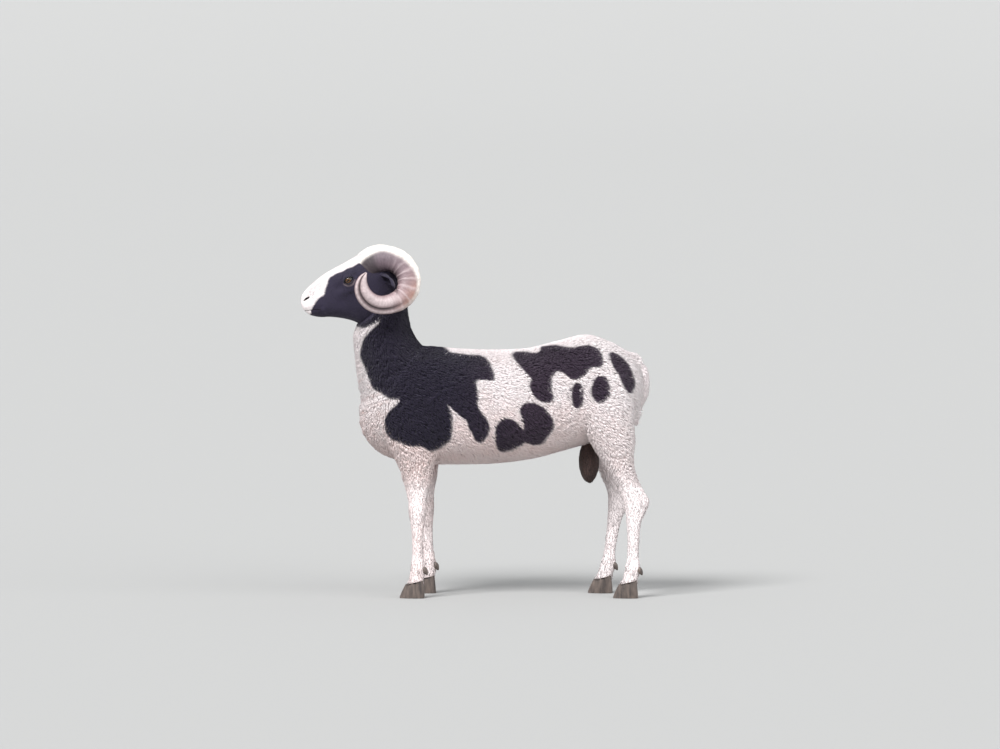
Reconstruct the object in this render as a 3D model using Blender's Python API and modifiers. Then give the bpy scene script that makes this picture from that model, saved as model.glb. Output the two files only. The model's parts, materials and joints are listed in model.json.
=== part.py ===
"""A life-size still model of a two-horned piebald ram that stands with its head up.

Metres, +Z up. The ram faces -X and its left side is towards -Y. The origin is on the
floor, under the middle of its length. Trunk, neck and legs are lofted, fused into one
body, and parted again with thin cuts, so that every joint meets face to face.
"""

import math
import random

import bmesh
import bpy
import numpy as np
from mathutils import Matrix, Vector
from mathutils.bvhtree import BVHTree

# Sizes of the animal, from the floor up
FORELEG_CUT = 0.345
SHANK_CUT = 0.362
CORONET = 0.043
CORONET_TILT = math.radians(14)
WOOL_LINE = 0.335
WOOL_EASE = 0.06

# The fleece: its clumps stand on a core, and the sizes of the trunk and neck are those at their tips
CORE_DEPTH = 0.012
CLUMP_SPACING = 0.068
CLUMP_WIDTH = 0.049
CLUMP_SIDES = 6
CLUMP_LEVELS = 4
CLUMP_SINK = 0.010
CLUMP_CLEARANCE = 0.030
CLUMP_SEED = 12

# Fusing and parting
GAP = 0.00035
SHARPEST = 2.5
VOXEL = 0.009
BODY_TRIANGLES = 2300
FLEECED_TRIANGLES = 9200

# Puts the middle of the whole over the origin
TO_MIDDLE = Vector((0.0001, 0.0045, 0))

# Trunk, from chest to rump: x, back height, belly height, half width, height of the widest line
TRUNK = (
    (-0.311, 0.540, 0.468, 0.034, 0.503),
    (-0.298, 0.581, 0.430, 0.074, 0.501),
    (-0.262, 0.640, 0.390, 0.110, 0.500),
    (-0.205, 0.676, 0.366, 0.131, 0.510),
    (-0.135, 0.686, 0.356, 0.143, 0.515),
    (-0.050, 0.679, 0.355, 0.153, 0.510),
    (0.050, 0.680, 0.358, 0.161, 0.505),
    (0.145, 0.688, 0.370, 0.158, 0.510),
    (0.230, 0.708, 0.392, 0.147, 0.525),
    (0.300, 0.724, 0.412, 0.140, 0.545),
    (0.360, 0.708, 0.428, 0.129, 0.560),
    (0.410, 0.680, 0.452, 0.107, 0.570),
    (0.438, 0.650, 0.490, 0.078, 0.575),
    (0.452, 0.620, 0.535, 0.040, 0.580),
)
TRUNK_POWER = 2.25

# Neck and ruff, from inside the chest to the skull: z, front, back, half width
NECK = (
    (0.500, -0.300, -0.120, 0.095),
    (0.560, -0.324, -0.105, 0.112),
    (0.620, -0.334, -0.112, 0.106),
    (0.670, -0.339, -0.132, 0.095),
    (0.715, -0.342, -0.162, 0.083),
    (0.755, -0.338, -0.176, 0.074),
    (0.800, -0.322, -0.182, 0.067),
    (0.845, -0.306, -0.190, 0.060),
    (0.885, -0.292, -0.205, 0.052),
    (0.915, -0.276, -0.226, 0.034),
)
NECK_POWER = 2.15

# Foreleg with the shoulder: z, front, back, inner side, outer side
FORELEG = (
    (0.655, -0.200, -0.080, 0.020, 0.098),
    (0.600, -0.240, -0.058, 0.020, 0.128),
    (0.540, -0.266, -0.056, 0.028, 0.145),
    (0.480, -0.272, -0.068, 0.034, 0.149),
    (0.430, -0.256, -0.084, 0.040, 0.143),
    (0.390, -0.232, -0.100, 0.047, 0.132),
    (0.350, -0.210, -0.112, 0.056, 0.121),
    (0.305, -0.195, -0.124, 0.062, 0.112),
    (0.268, -0.186, -0.132, 0.066, 0.108),
    (0.236, -0.185, -0.134, 0.063, 0.110),
    (0.206, -0.180, -0.138, 0.066, 0.106),
    (0.170, -0.176, -0.142, 0.070, 0.102),
    (0.118, -0.175, -0.142, 0.070, 0.102),
    (0.086, -0.179, -0.137, 0.066, 0.106),
    (0.062, -0.182, -0.138, 0.066, 0.106),
    (0.030, -0.188, -0.148, 0.066, 0.106),
)

# Hind leg with the haunch: z, front, back, inner side, outer side
HINDLEG = (
    (0.650, 0.255, 0.405, 0.020, 0.100),
    (0.590, 0.246, 0.440, 0.022, 0.132),
    (0.530, 0.258, 0.440, 0.026, 0.143),
    (0.480, 0.280, 0.441, 0.032, 0.141),
    (0.435, 0.302, 0.445, 0.036, 0.134),
    (0.395, 0.327, 0.442, 0.043, 0.125),
    (0.358, 0.353, 0.440, 0.050, 0.117),
    (0.322, 0.376, 0.448, 0.057, 0.111),
    (0.292, 0.394, 0.464, 0.062, 0.108),
    (0.266, 0.404, 0.478, 0.064, 0.107),
    (0.238, 0.409, 0.469, 0.065, 0.106),
    (0.205, 0.412, 0.455, 0.068, 0.104),
    (0.155, 0.415, 0.450, 0.069, 0.102),
    (0.112, 0.414, 0.449, 0.069, 0.102),
    (0.084, 0.409, 0.453, 0.066, 0.106),
    (0.060, 0.404, 0.449, 0.066, 0.106),
    (0.030, 0.395, 0.437, 0.066, 0.106),
)
LEG_POWER = 2.2
LEG_SWING_TOP = 0.60
FAR_FORE_SWING = 0.030
FAR_HIND_SWING = -0.068

# Planes that part the neck from the trunk and the thighs from it: a point and a direction
NECK_PLANE = (Vector((-0.240, 0, 0.640)), Vector((-0.614, 0, 0.789)))
THIGH_PLANE = (Vector((0.268, 0, 0.402)), Vector((0.594, 0, -0.805)))

# Head: it is modelled level, nose along +X, with its origin at the back of the skull
SKULL = Vector((-0.250, 0, 0.9075))
HEAD_PITCH = math.radians(20)
HEAD_YAW = math.radians(10)
HEAD_LEVELS = (0.93, 0.75, 0.5, 0.25, 0.07)
HEAD = (
    (-0.042, 0.008, -0.050, 0.009, 0.015, 0.016, 0.014, 0.009),
    (-0.025, 0.034, -0.074, 0.022, 0.036, 0.040, 0.036, 0.022),
    (0.010, 0.052, -0.098, 0.032, 0.046, 0.052, 0.048, 0.032),
    (0.050, 0.056, -0.127, 0.036, 0.052, 0.056, 0.052, 0.034),
    (0.085, 0.051, -0.141, 0.038, 0.057, 0.056, 0.049, 0.031),
    (0.112, 0.047, -0.133, 0.036, 0.059, 0.053, 0.045, 0.028),
    (0.136, 0.044, -0.111, 0.029, 0.046, 0.046, 0.040, 0.025),
    (0.165, 0.039, -0.092, 0.020, 0.031, 0.036, 0.035, 0.021),
    (0.200, 0.028, -0.075, 0.017, 0.025, 0.030, 0.031, 0.019),
    (0.226, 0.017, -0.065, 0.017, 0.025, 0.029, 0.028, 0.017),
    (0.243, 0.005, -0.053, 0.013, 0.020, 0.022, 0.020, 0.012),
    (0.252, -0.010, -0.037, 0.006, 0.010, 0.011, 0.009, 0.006),
)
EYE = Vector((0.112, 0.047, 0.003))
EYE_RADIUS = 0.014
EYE_TURN = math.radians(22)
LID_THICKNESS = 0.0026
LID_OPENING = (0.0128, 0.0076)
LID_SLANT = math.radians(14)

# Horns, in the head's frame: each winds once round an axis across the head
HORN_START = math.radians(67)
HORN_END = math.radians(415)
HORN_RADII = (
    (0.00, 0.064),
    (0.20, 0.064),
    (0.40, 0.061),
    (0.62, 0.052),
    (0.88, 0.067),
    (1.00, 0.067),
)
HORN_SIDE = (0.031, 0.154)
HORN_CENTRE = (0.009, -0.0406)
HORN_LEAN = 0.176
HORN_GIRTH = (
    (0.00, 0.0355),
    (0.12, 0.0350),
    (0.33, 0.0325),
    (0.50, 0.0290),
    (0.64, 0.0260),
    (0.78, 0.0242),
    (0.88, 0.0205),
    (0.95, 0.0125),
    (1.00, 0.0025),
)
HORN_FLATNESS = 0.74
HORN_SIDES = 10
HORN_RINGS = 42
HORN_RIDGE = 0.030

# Ears, in the head's frame
EAR_ROOT = Vector((0.013, 0.044, -0.020))
EAR_TIP = Vector((0.018, 0.136, -0.050))
EAR_HALF_WIDTH = 0.0190
EAR_THICKNESS = 0.0040

# Dewclaws: two knobs at the back of each fetlock
DEWCLAW_HEIGHT = 0.074
DEWCLAW_RADIUS = 0.0078
DEWCLAW_APART = 0.011

# Claws, about the middle of the leg at the coronet: z, front, back, half width
CLAW = (
    (0.000, -0.042, 0.024, 0.0112),
    (0.003, -0.043, 0.025, 0.0122),
    (0.018, -0.037, 0.024, 0.0128),
    (0.036, -0.028, 0.022, 0.0122),
    (0.056, -0.018, 0.020, 0.0110),
)
CLAW_OFFSET = 0.0142
CLAW_LENGTH = 0.045
TOE_TAPER = 0.35
TOE_TURN = 0.34

# Scrotum: its middle and half sizes, between the thighs
POUCH = Vector((0.312, 0, 0.372))
POUCH_SIZE = Vector((0.031, 0.035, 0.064))

# Tail: x, z, half depth, half width at the tips of its wool
TAIL = (
    (0.420, 0.664, 0.0160, 0.022),
    (0.441, 0.645, 0.0170, 0.024),
    (0.4585, 0.612, 0.0175, 0.026),
    (0.4625, 0.578, 0.0175, 0.026),
    (0.4585, 0.545, 0.0165, 0.025),
    (0.4465, 0.516, 0.0140, 0.022),
    (0.4385, 0.488, 0.0110, 0.018),
    (0.4350, 0.464, 0.0060, 0.009),
)

# Colour and roughness of each material
LOOKS = {
    "white_wool": ((0.80, 0.74, 0.68, 1), 0.9),
    "black_wool": ((0.035, 0.032, 0.042, 1), 0.9),
    "white_hair": ((0.78, 0.72, 0.67, 1), 0.75),
    "horn": ((0.42, 0.34, 0.30, 1), 0.5),
    "hoof": ((0.09, 0.075, 0.06, 1), 0.5),
    "eye": ((0.20, 0.11, 0.03, 1), 0.08),
}


def clear_scene():
    for old in list(bpy.data.objects):
        bpy.data.objects.remove(old)


def material(name, colour, roughness):
    made = bpy.data.materials.new(name)
    made.use_nodes = True
    shader = made.node_tree.nodes["Principled BSDF"]
    shader.inputs["Base Color"].default_value = colour
    shader.inputs["Roughness"].default_value = roughness
    shader.inputs["Metallic"].default_value = 0.0
    return made


def eased(rows, count):
    """Rows of sizes resampled evenly along a smooth curve through them all."""
    table = np.array(rows, float)
    padded = np.vstack([2 * table[0] - table[1], table, 2 * table[-1] - table[-2]])
    places = np.linspace(0, len(table) - 1, count)
    start = np.minimum(places.astype(int), len(table) - 2)
    t = (places - start)[:, None]
    a, b, c, d = (padded[start + k] for k in range(4))
    return 0.5 * (
        2 * b + (c - a) * t + (2 * a - 5 * b + 4 * c - d) * t**2
        + (3 * b - a - 3 * c + d) * t**3
    )


def smoothstep(x):
    x = min(max(x, 0.0), 1.0)
    return x * x * (3 - 2 * x)


def rounded(angle, power):
    """A point of a unit superellipse: a circle at power 2, squarer above it."""
    c, s = math.cos(angle), math.sin(angle)
    return (
        math.copysign(abs(c) ** (2 / power), c),
        math.copysign(abs(s) ** (2 / power), s),
    )


def loft(rings):
    """A closed mesh through rings of the same number of points, with flat ends."""
    mesh = bmesh.new()
    rows = [[mesh.verts.new(point) for point in ring] for ring in rings]
    count = len(rows[0])
    for lower, upper in zip(rows, rows[1:]):
        for k in range(count):
            after = (k + 1) % count
            mesh.faces.new((lower[k], lower[after], upper[after], upper[k]))
    mesh.faces.new(rows[0][::-1])
    mesh.faces.new(rows[-1])
    bmesh.ops.recalc_face_normals(mesh, faces=mesh.faces)
    return mesh


def place(mesh, name, collection, look=None):
    """The bmesh as an object of that collection."""
    data = bpy.data.meshes.new(name)
    bmesh.ops.triangulate(mesh, faces=mesh.faces)
    mesh.to_mesh(data)
    mesh.free()
    made = bpy.data.objects.new(name, data)
    collection.objects.link(made)
    if look:
        data.materials.append(look)
    return made


def settle(thing):
    """Applies the object's modifiers to its mesh."""
    bpy.context.view_layer.update()
    graph = bpy.context.evaluated_depsgraph_get()
    data = bpy.data.meshes.new_from_object(thing.evaluated_get(graph))
    old = thing.data
    thing.modifiers.clear()
    thing.data = data
    bpy.data.meshes.remove(old)
    return thing


def keep_largest(mesh):
    """Drops every closed surface of the bmesh but the one with the most volume."""
    left = set(mesh.verts)
    shells = []
    while left:
        shell, edge = set(), [left.pop()]
        while edge:
            vert = edge.pop()
            shell.add(vert)
            for link in vert.link_edges:
                other = link.other_vert(vert)
                if other in left:
                    left.discard(other)
                    edge.append(other)
        shells.append(shell)
    if len(shells) < 2:
        return
    def size(shell):
        points = np.array([vert.co for vert in shell])
        return float(np.prod(points.max(0) - points.min(0)))
    shells.sort(key=size)
    for shell in shells[:-1]:
        bmesh.ops.delete(mesh, geom=list(shell), context="VERTS")


def boolean(thing, operation, operand, solver="EXACT"):
    """Joins to the object, or cuts from it, another object or a collection, then removes that."""
    step = thing.modifiers.new("Join", "BOOLEAN")
    step.operation = operation
    step.solver = solver
    if isinstance(operand, bpy.types.Collection):
        step.operand_type = "COLLECTION"
        step.collection = operand
        used = list(operand.objects)
    else:
        step.object = operand
        used = [operand]
    settle(thing)
    for old in used:
        bpy.data.objects.remove(old)
    mesh = bmesh.new()
    mesh.from_mesh(thing.data)
    keep_largest(mesh)
    mesh.to_mesh(thing.data)
    mesh.free()
    return thing


def swollen(thing, name, collection, by=GAP):
    """A copy of the object, larger all round by the gap that neighbours keep."""
    mesh = bmesh.new()
    mesh.from_mesh(thing.data)
    mesh.normal_update()
    for vert in mesh.verts:
        vert.co += vert.normal * by * min(vert.calc_shell_factor(), SHARPEST)
    return place(mesh, name, collection)


def ring_across(row):
    """An upright ring of the trunk, as wide as the row says, with its core's inset."""
    x, top, bottom, half, widest = row
    half, top, bottom = half - CORE_DEPTH, top - CORE_DEPTH, bottom + CORE_DEPTH
    points = []
    for k in range(32):
        c, s = rounded(2 * math.pi * k / 32, TRUNK_POWER)
        rise = (top - widest) if s > 0 else (widest - bottom)
        points.append(Vector((x, c * half, widest + s * rise)))
    return points


def trunk():
    return loft([ring_across(row) for row in eased(TRUNK, 44)])


def level_ring(z, front, back, inner, outer, power, inset, sides=20):
    """A level ring, given by its front, back, inner and outer sides."""
    front, back, inner, outer = front + inset, back - inset, inner + inset, outer - inset
    middle = Vector(((front + back) / 2, (inner + outer) / 2, z))
    points = []
    for k in range(sides):
        c, s = rounded(2 * math.pi * k / sides, power)
        points.append(middle + Vector((c * (back - front) / 2, s * (outer - inner) / 2, 0)))
    return points


def neck():
    return loft([
        level_ring(z, front, back, -half, half, NECK_POWER, CORE_DEPTH, 28)
        for z, front, back, half in eased(NECK, 24)
    ])


def swung(z, swing):
    """How far forward or back a leg of this swing stands at this height."""
    return swing * smoothstep((LEG_SWING_TOP - z) / LEG_SWING_TOP)


def at_height(rows, z):
    """The leg's sizes at this height."""
    return min(eased(rows, 200), key=lambda row: abs(row[0] - z))


def leg(rows, side, swing):
    rings = []
    for z, front, back, inner, outer in eased(rows, 52):
        inset = CORE_DEPTH * smoothstep((z - WOOL_LINE) / WOOL_EASE)
        ring = level_ring(z, front, back, inner, outer, LEG_POWER, inset)
        rings.append([Vector((p.x + swung(z, swing), p.y * side, p.z)) for p in ring])
    return loft(rings)


LEGS = (
    ("foreleg_left", FORELEG, -1, 0.0),
    ("foreleg_right", FORELEG, 1, FAR_FORE_SWING),
    ("hindleg_left", HINDLEG, -1, 0.0),
    ("hindleg_right", HINDLEG, 1, FAR_HIND_SWING),
)


def dewclaws(rows, side, swing, collection):
    """The two small horny knobs at the back of the fetlock."""
    z = DEWCLAW_HEIGHT
    _, _, back, inner, outer = at_height(rows, z)
    for apart in (-DEWCLAW_APART, DEWCLAW_APART):
        y = (inner + outer) / 2 + apart
        mesh = bmesh.new()
        bmesh.ops.create_uvsphere(mesh, u_segments=8, v_segments=5, radius=DEWCLAW_RADIUS)
        bmesh.ops.scale(mesh, verts=mesh.verts, vec=(1.0, 0.8, 1.25))
        spot = Vector((back + swung(z, swing) - GAP, y * side, z))
        bmesh.ops.translate(mesh, verts=mesh.verts, vec=spot)
        place(mesh, "dewclaw", collection)


def fused_body(collection):
    """Trunk, neck and legs as one smooth surface of few faces."""
    whole = bmesh.new()
    pieces = [trunk(), neck()] + [leg(rows, side, swing) for _, rows, side, swing in LEGS]
    for piece in pieces:
        data = bpy.data.meshes.new("piece")
        piece.to_mesh(data)
        piece.free()
        whole.from_mesh(data)
        bpy.data.meshes.remove(data)
    body = place(whole, "body", collection)
    remesh = body.modifiers.new("Fuse", "REMESH")
    remesh.mode = "VOXEL"
    remesh.voxel_size = VOXEL
    smooth = body.modifiers.new("Ease", "SMOOTH")
    smooth.factor = 0.5
    smooth.iterations = 5
    settle(body)
    return body


def thinned(body, triangles):
    decimate = body.modifiers.new("Thin", "DECIMATE")
    body.data.calc_loop_triangles()
    decimate.ratio = triangles / len(body.data.loop_triangles)
    return settle(body)


def coat_flow(normal):
    """The way the coat lies: back along the body and down its sides."""
    way = Vector((1.0, 0, -0.75))
    way -= normal * way.dot(normal)
    return way.normalized() if way.length > 0.05 else Vector((0, 0, -1))


def clump_spots(body, bare):
    """Evenly spread points of the woolly surface, each with its normal, clear of the bare things."""
    chance = random.Random(CLUMP_SEED)
    spots = [(v.co.copy(), v.normal.copy()) for v in body.data.vertices if v.co.z > WOOL_LINE + 0.03]
    chance.shuffle(spots)
    trees = [BVHTree.FromPolygons(*faces_of(thing)) for thing in bare]
    kept = []
    for point, normal in spots:
        tip = point + normal * CORE_DEPTH
        if any(tree.find_nearest(tip)[3] < CLUMP_CLEARANCE for tree in trees):
            continue
        if all((point - other).length_squared > CLUMP_SPACING**2 for other, _ in kept):
            kept.append((point, normal))
    return kept


def faces_of(thing):
    """The object's points and faces."""
    data = thing.data
    return [v.co for v in data.vertices], [tuple(p.vertices) for p in data.polygons]


def clumps(spots, collection):
    """Rounded clumps of wool, each a low dome that leans the way the coat lies."""
    chance = random.Random(CLUMP_SEED + 1)
    for point, normal in spots:
        size = CLUMP_WIDTH * chance.uniform(0.9, 1.12)
        flow = coat_flow(normal)
        side = normal.cross(flow)
        lean = (flow * size * 0.12)
        turn = chance.uniform(0, math.pi)
        mesh = bmesh.new()
        bmesh.ops.create_uvsphere(mesh, u_segments=CLUMP_SIDES, v_segments=CLUMP_LEVELS, radius=1.0)
        high = CORE_DEPTH * chance.uniform(0.92, 1.05) + CLUMP_SINK
        for vert in mesh.verts:
            c, s = math.cos(turn), math.sin(turn)
            along, across, up = vert.co.x * c - vert.co.y * s, vert.co.x * s + vert.co.y * c, vert.co.z
            vert.co = (
                point - normal * CLUMP_SINK
                + flow * along * size * 1.08 + side * across * size * 0.92
                + (normal * high + lean) * up
            )
        place(mesh, "clump", collection)


def head_matrix():
    face = Matrix.Rotation(math.pi + HEAD_YAW, 4, "Z")
    return Matrix.Translation(SKULL) @ face @ Matrix.Rotation(HEAD_PITCH, 4, "Y")


def head_ring(row, sides):
    """A ring of the head across its length, through the half widths at five levels."""
    x, top, bottom, *halves = row
    right = [(half, bottom + level * (top - bottom)) for half, level in zip(halves, HEAD_LEVELS)]
    outline = [(0, top), *right, (0, bottom), *[(-y, z) for y, z in reversed(right)]]
    around = eased([outline[-1], *outline, outline[0], outline[1]], 14 * 16 + 1)[16:-16]
    picks = np.linspace(0, len(around) - 1, sides + 1)[:-1].astype(int)
    return [Vector((x, around[k][0], around[k][1])) for k in picks]


def head_shell(sides=22, rings=27):
    mesh = loft([head_ring(row, sides) for row in eased(HEAD, rings)])
    return mesh


def lens(half_long, half_high, depth, points=9):
    """An almond outline, extruded along +Y."""
    top = [
        (half_long * math.cos(math.pi * k / points), half_high * math.sin(math.pi * k / points) ** 1.15)
        for k in range(points)
    ]
    outline = top + [(-x, -0.8 * z) for x, z in top]
    near = [Vector((x, 0, z)) for x, z in outline]
    far = [Vector((x * 1.5, depth, z * 1.5)) for x, z in outline]
    return loft([near, far])


def eye_matrix(side):
    turn = Matrix.Rotation(-side * EYE_TURN, 4, "Z")
    slant = Matrix.Rotation(LID_SLANT, 4, "Y")
    flip = Matrix.Diagonal((1, side, 1, 1))
    spot = Vector((EYE.x, EYE.y * side, EYE.z))
    return Matrix.Translation(spot) @ turn @ slant @ flip


def ball(name, radius, matrix, collection, look=None):
    mesh = bmesh.new()
    bmesh.ops.create_uvsphere(mesh, u_segments=14, v_segments=9, radius=radius)
    bmesh.ops.transform(mesh, matrix=matrix, verts=mesh.verts)
    bmesh.ops.recalc_face_normals(mesh, faces=mesh.faces)
    return place(mesh, name, collection, look)


def head(model, tools, look):
    made = place(head_shell(), "head", model, look)
    lids = bpy.data.collections.new("lids")
    sockets = bpy.data.collections.new("sockets")
    for holder in (lids, sockets):
        tools.children.link(holder)
    for side in (-1, 1):
        ball("lid", EYE_RADIUS + LID_THICKNESS, eye_matrix(side), lids)
    boolean(made, "UNION", lids)
    for side in (-1, 1):
        ball("socket", EYE_RADIUS + GAP, eye_matrix(side), sockets)
        opening = lens(*LID_OPENING, 0.03)
        bmesh.ops.transform(opening, matrix=eye_matrix(side), verts=opening.verts)
        bmesh.ops.recalc_face_normals(opening, faces=opening.faces)
        place(opening, "opening", sockets)
        nostril(side, sockets)
    mouth(sockets)
    boolean(made, "DIFFERENCE", sockets)
    return made


def nostril(side, collection):
    """The slit of a nostril, from low beside the lip's cleft up and back."""
    mesh = bmesh.new()
    bmesh.ops.create_uvsphere(mesh, u_segments=8, v_segments=6, radius=1.0)
    bmesh.ops.scale(mesh, verts=mesh.verts, vec=(0.0125, 0.0042, 0.0058))
    turn = Matrix.Rotation(-side * math.radians(52), 4, "Z") @ Matrix.Rotation(math.radians(-28), 4, "Y")
    spot = Matrix.Translation((0.2435, side * 0.0155, -0.0105))
    bmesh.ops.transform(mesh, matrix=spot @ turn, verts=mesh.verts)
    place(mesh, "nostril", collection)


def mouth(collection):
    """The line of the closed mouth, a thin cut that rises from its corners to the front."""
    mesh = bmesh.new()
    bmesh.ops.create_cube(mesh, size=1.0)
    bmesh.ops.scale(mesh, verts=mesh.verts, vec=(0.080, 0.090, 0.0013))
    turn = Matrix.Translation((0.229, 0, -0.0395)) @ Matrix.Rotation(math.radians(-9), 4, "Y")
    bmesh.ops.transform(mesh, matrix=turn, verts=mesh.verts)
    place(mesh, "mouth", collection)


def along(table, t):
    """The value that a smooth curve through the table's rows has at t."""
    fine = eased(table, 10 * len(table))
    return float(np.interp(t, fine[:, 0], fine[:, 1]))


def horn_middle(t, side):
    angle = HORN_START + (HORN_END - HORN_START) * t
    radius = along(HORN_RADII, t)
    out = HORN_SIDE[0] + (HORN_SIDE[1] - HORN_SIDE[0]) * t
    x = HORN_CENTRE[0] + HORN_LEAN * out + radius * math.cos(angle)
    return Vector((x, side * out, HORN_CENTRE[1] + radius * math.sin(angle)))


def horn(side):
    """A wound, tapering horn with growth ridges and a groove down its outer face."""
    rings = []
    for ring in range(HORN_RINGS):
        t = ring / (HORN_RINGS - 1)
        angle = HORN_START + (HORN_END - HORN_START) * t
        middle = horn_middle(t, side)
        ahead = (horn_middle(t + 0.005, side) - horn_middle(t - 0.005, side)).normalized()
        radial = Vector((math.cos(angle), 0, math.sin(angle)))
        radial = (radial - ahead * radial.dot(ahead)).normalized()
        across = ahead.cross(radial) * side
        girth = along(HORN_GIRTH, t)
        ridge = HORN_RIDGE * (1 - 0.6 * t) * (1 if ring % 2 else -1) * (t < 0.86)
        points = []
        for k in range(HORN_SIDES):
            turn = 2 * math.pi * k / HORN_SIDES
            keel = 1 + ridge + 0.07 * math.cos(3 * turn)
            points.append(
                middle + radial * girth * keel * math.cos(turn)
                + across * girth * HORN_FLATNESS * keel * math.sin(turn)
            )
        rings.append(points)
    return loft(rings)


def ear(side):
    """A cupped leaf that is rolled at its root, with a wall of even thickness."""
    axis = (EAR_TIP - EAR_ROOT).normalized()
    back = Vector((-1, 0.1, 0.25))
    back = (back - axis * back.dot(axis)).normalized()
    up = axis.cross(back)
    length = (EAR_TIP - EAR_ROOT).length
    mesh = bmesh.new()
    bmesh.ops.create_grid(mesh, x_segments=7, y_segments=5, size=0.5)
    for vert in mesh.verts:
        u, v = vert.co.x + 0.5, vert.co.y * 2
        width = EAR_HALF_WIDTH * (0.55 + 0.75 * u - 1.05 * u**3.2)
        roll = math.radians(125 - 75 * u)
        radius = width / max(math.sin(min(roll, math.pi / 2)), 0.3)
        reach = roll * v
        vert.co = (
            EAR_ROOT + axis * length * u
            + back * (radius * math.cos(reach) - radius * 0.5)
            + up * radius * math.sin(reach)
        )
        vert.co.y *= side
    bmesh.ops.recalc_face_normals(mesh, faces=mesh.faces)
    bmesh.ops.solidify(mesh, geom=mesh.faces[:], thickness=EAR_THICKNESS)
    bmesh.ops.recalc_face_normals(mesh, faces=mesh.faces)
    return mesh


def coronet(rows, side, swing):
    """The middle of the slanted plane where the claws meet the leg, and the way down from it."""
    _, front, back, inner, outer = at_height(rows, CORONET)
    x = (front + back) / 2 + swung(CORONET, swing)
    middle = Vector((x, side * (inner + outer) / 2, CORONET))
    return middle, Vector((math.sin(CORONET_TILT), 0, -math.cos(CORONET_TILT)))


def claw(middle, side, outward):
    """One half of a cloven hoof, with its sole flat on the floor and its toe drawn in."""
    y = middle.y + side * outward * CLAW_OFFSET
    rings = []
    for z, toe, heel, half in eased(CLAW, 6):
        ring = level_ring(z, middle.x + toe, middle.x + heel, y - half, y + half, 2.5, 0, 10)
        for p in ring:
            ahead = smoothstep((middle.x - p.x) / CLAW_LENGTH)
            p.y += ahead * (TOE_TAPER * (y - p.y) - TOE_TURN * side * outward * half)
        rings.append(ring)
    return loft(rings)


def cut_away(thing, point, normal):
    """Removes what lies on the side that the normal points to, and closes the cut."""
    mesh = bmesh.new()
    mesh.from_mesh(thing.data)
    cut = bmesh.ops.bisect_plane(
        mesh, geom=mesh.verts[:] + mesh.edges[:] + mesh.faces[:], dist=1e-6,
        plane_co=point, plane_no=normal, clear_outer=True,
    )
    rim = [e for e in cut["geom_cut"] if isinstance(e, bmesh.types.BMEdge)]
    bmesh.ops.edgeloop_fill(mesh, edges=rim)
    bmesh.ops.triangulate(mesh, faces=[f for f in mesh.faces if len(f.verts) > 3])
    bmesh.ops.recalc_face_normals(mesh, faces=mesh.faces)
    keep_largest(mesh)
    mesh.to_mesh(thing.data)
    mesh.free()


def cell(whole, name, planes, collection, look):
    """The part of the whole that lies behind every plane, as an object of its own."""
    made = bpy.data.objects.new(name, whole.data.copy())
    collection.objects.link(made)
    for point, normal in planes:
        normal = normal.normalized()
        cut_away(made, point - normal * GAP / 2, normal)
    made.data.materials.clear()
    made.data.materials.append(look)


def make_pouch(body, model, tools, look):
    mesh = bmesh.new()
    bmesh.ops.create_uvsphere(mesh, u_segments=12, v_segments=9, radius=1.0)
    bmesh.ops.scale(mesh, verts=mesh.verts, vec=POUCH_SIZE)
    bmesh.ops.translate(mesh, verts=mesh.verts, vec=POUCH)
    pouch = place(mesh, "scrotum", model, look)
    boolean(pouch, "DIFFERENCE", swollen(body, "body_room", tools))


def make_tail(model, look):
    """A flat woolly tail that hangs against the rump."""
    rings = []
    rows = eased(TAIL, 14)
    for k, (x, z, deep, half) in enumerate(rows):
        before, after = rows[max(k - 1, 0)], rows[min(k + 1, len(rows) - 1)]
        ahead = Vector((after[0] - before[0], 0, after[1] - before[1])).normalized()
        out = Vector((-ahead.z, 0, ahead.x))
        rings.append([
            Vector((x, 0, z)) + out * deep * math.cos(2 * math.pi * n / 12)
            + Vector((0, half * math.sin(2 * math.pi * n / 12), 0))
            for n in range(12)
        ])
    place(loft(rings), "tail", model, look)


def make_head_parts(model, tools, looks):
    """The head with its eyes, horns and ears, which grow from it without overlap."""
    frame = head_matrix()
    skull = head(model, tools, looks["black_wool"])
    skull.data.transform(frame)
    for side, word in ((1, "left"), (-1, "right")):
        ball(f"eye_{word}", EYE_RADIUS, frame @ eye_matrix(side), model, looks["eye"])
        for name, mesh, look in (("horn", horn(side), "horn"), ("ear", ear(side), "black_wool")):
            bmesh.ops.transform(mesh, matrix=frame, verts=mesh.verts)
            bmesh.ops.recalc_face_normals(mesh, faces=mesh.faces)
            grown = place(mesh, f"{name}_{word}", model, looks[look])
            boolean(grown, "DIFFERENCE", swollen(skull, "skull_room", tools))


def make_fleeced_body(model, tools):
    """Trunk, neck and legs in one, with clumps and dewclaws, and room for all that is in the model."""
    body = fused_body(tools)
    bare = [thing for thing in model.objects if not thing.name.startswith("eye")]
    spots = clump_spots(body, [thing for thing in bare if thing.name != "tail"])
    thinned(body, BODY_TRIANGLES)
    added = bpy.data.collections.new("added")
    rooms = bpy.data.collections.new("rooms")
    for collection in (added, rooms):
        tools.children.link(collection)
    for _, rows, side, swing in LEGS:
        dewclaws(rows, side, swing, added)
    clumps(spots, added)
    boolean(body, "UNION", added)
    thinned(body, FLEECED_TRIANGLES)
    for thing in bare:
        swollen(thing, "room", rooms)
    boolean(body, "DIFFERENCE", rooms)
    return body


def turned(plane):
    """The same plane, with its other side kept."""
    return plane[0], -plane[1]


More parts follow.
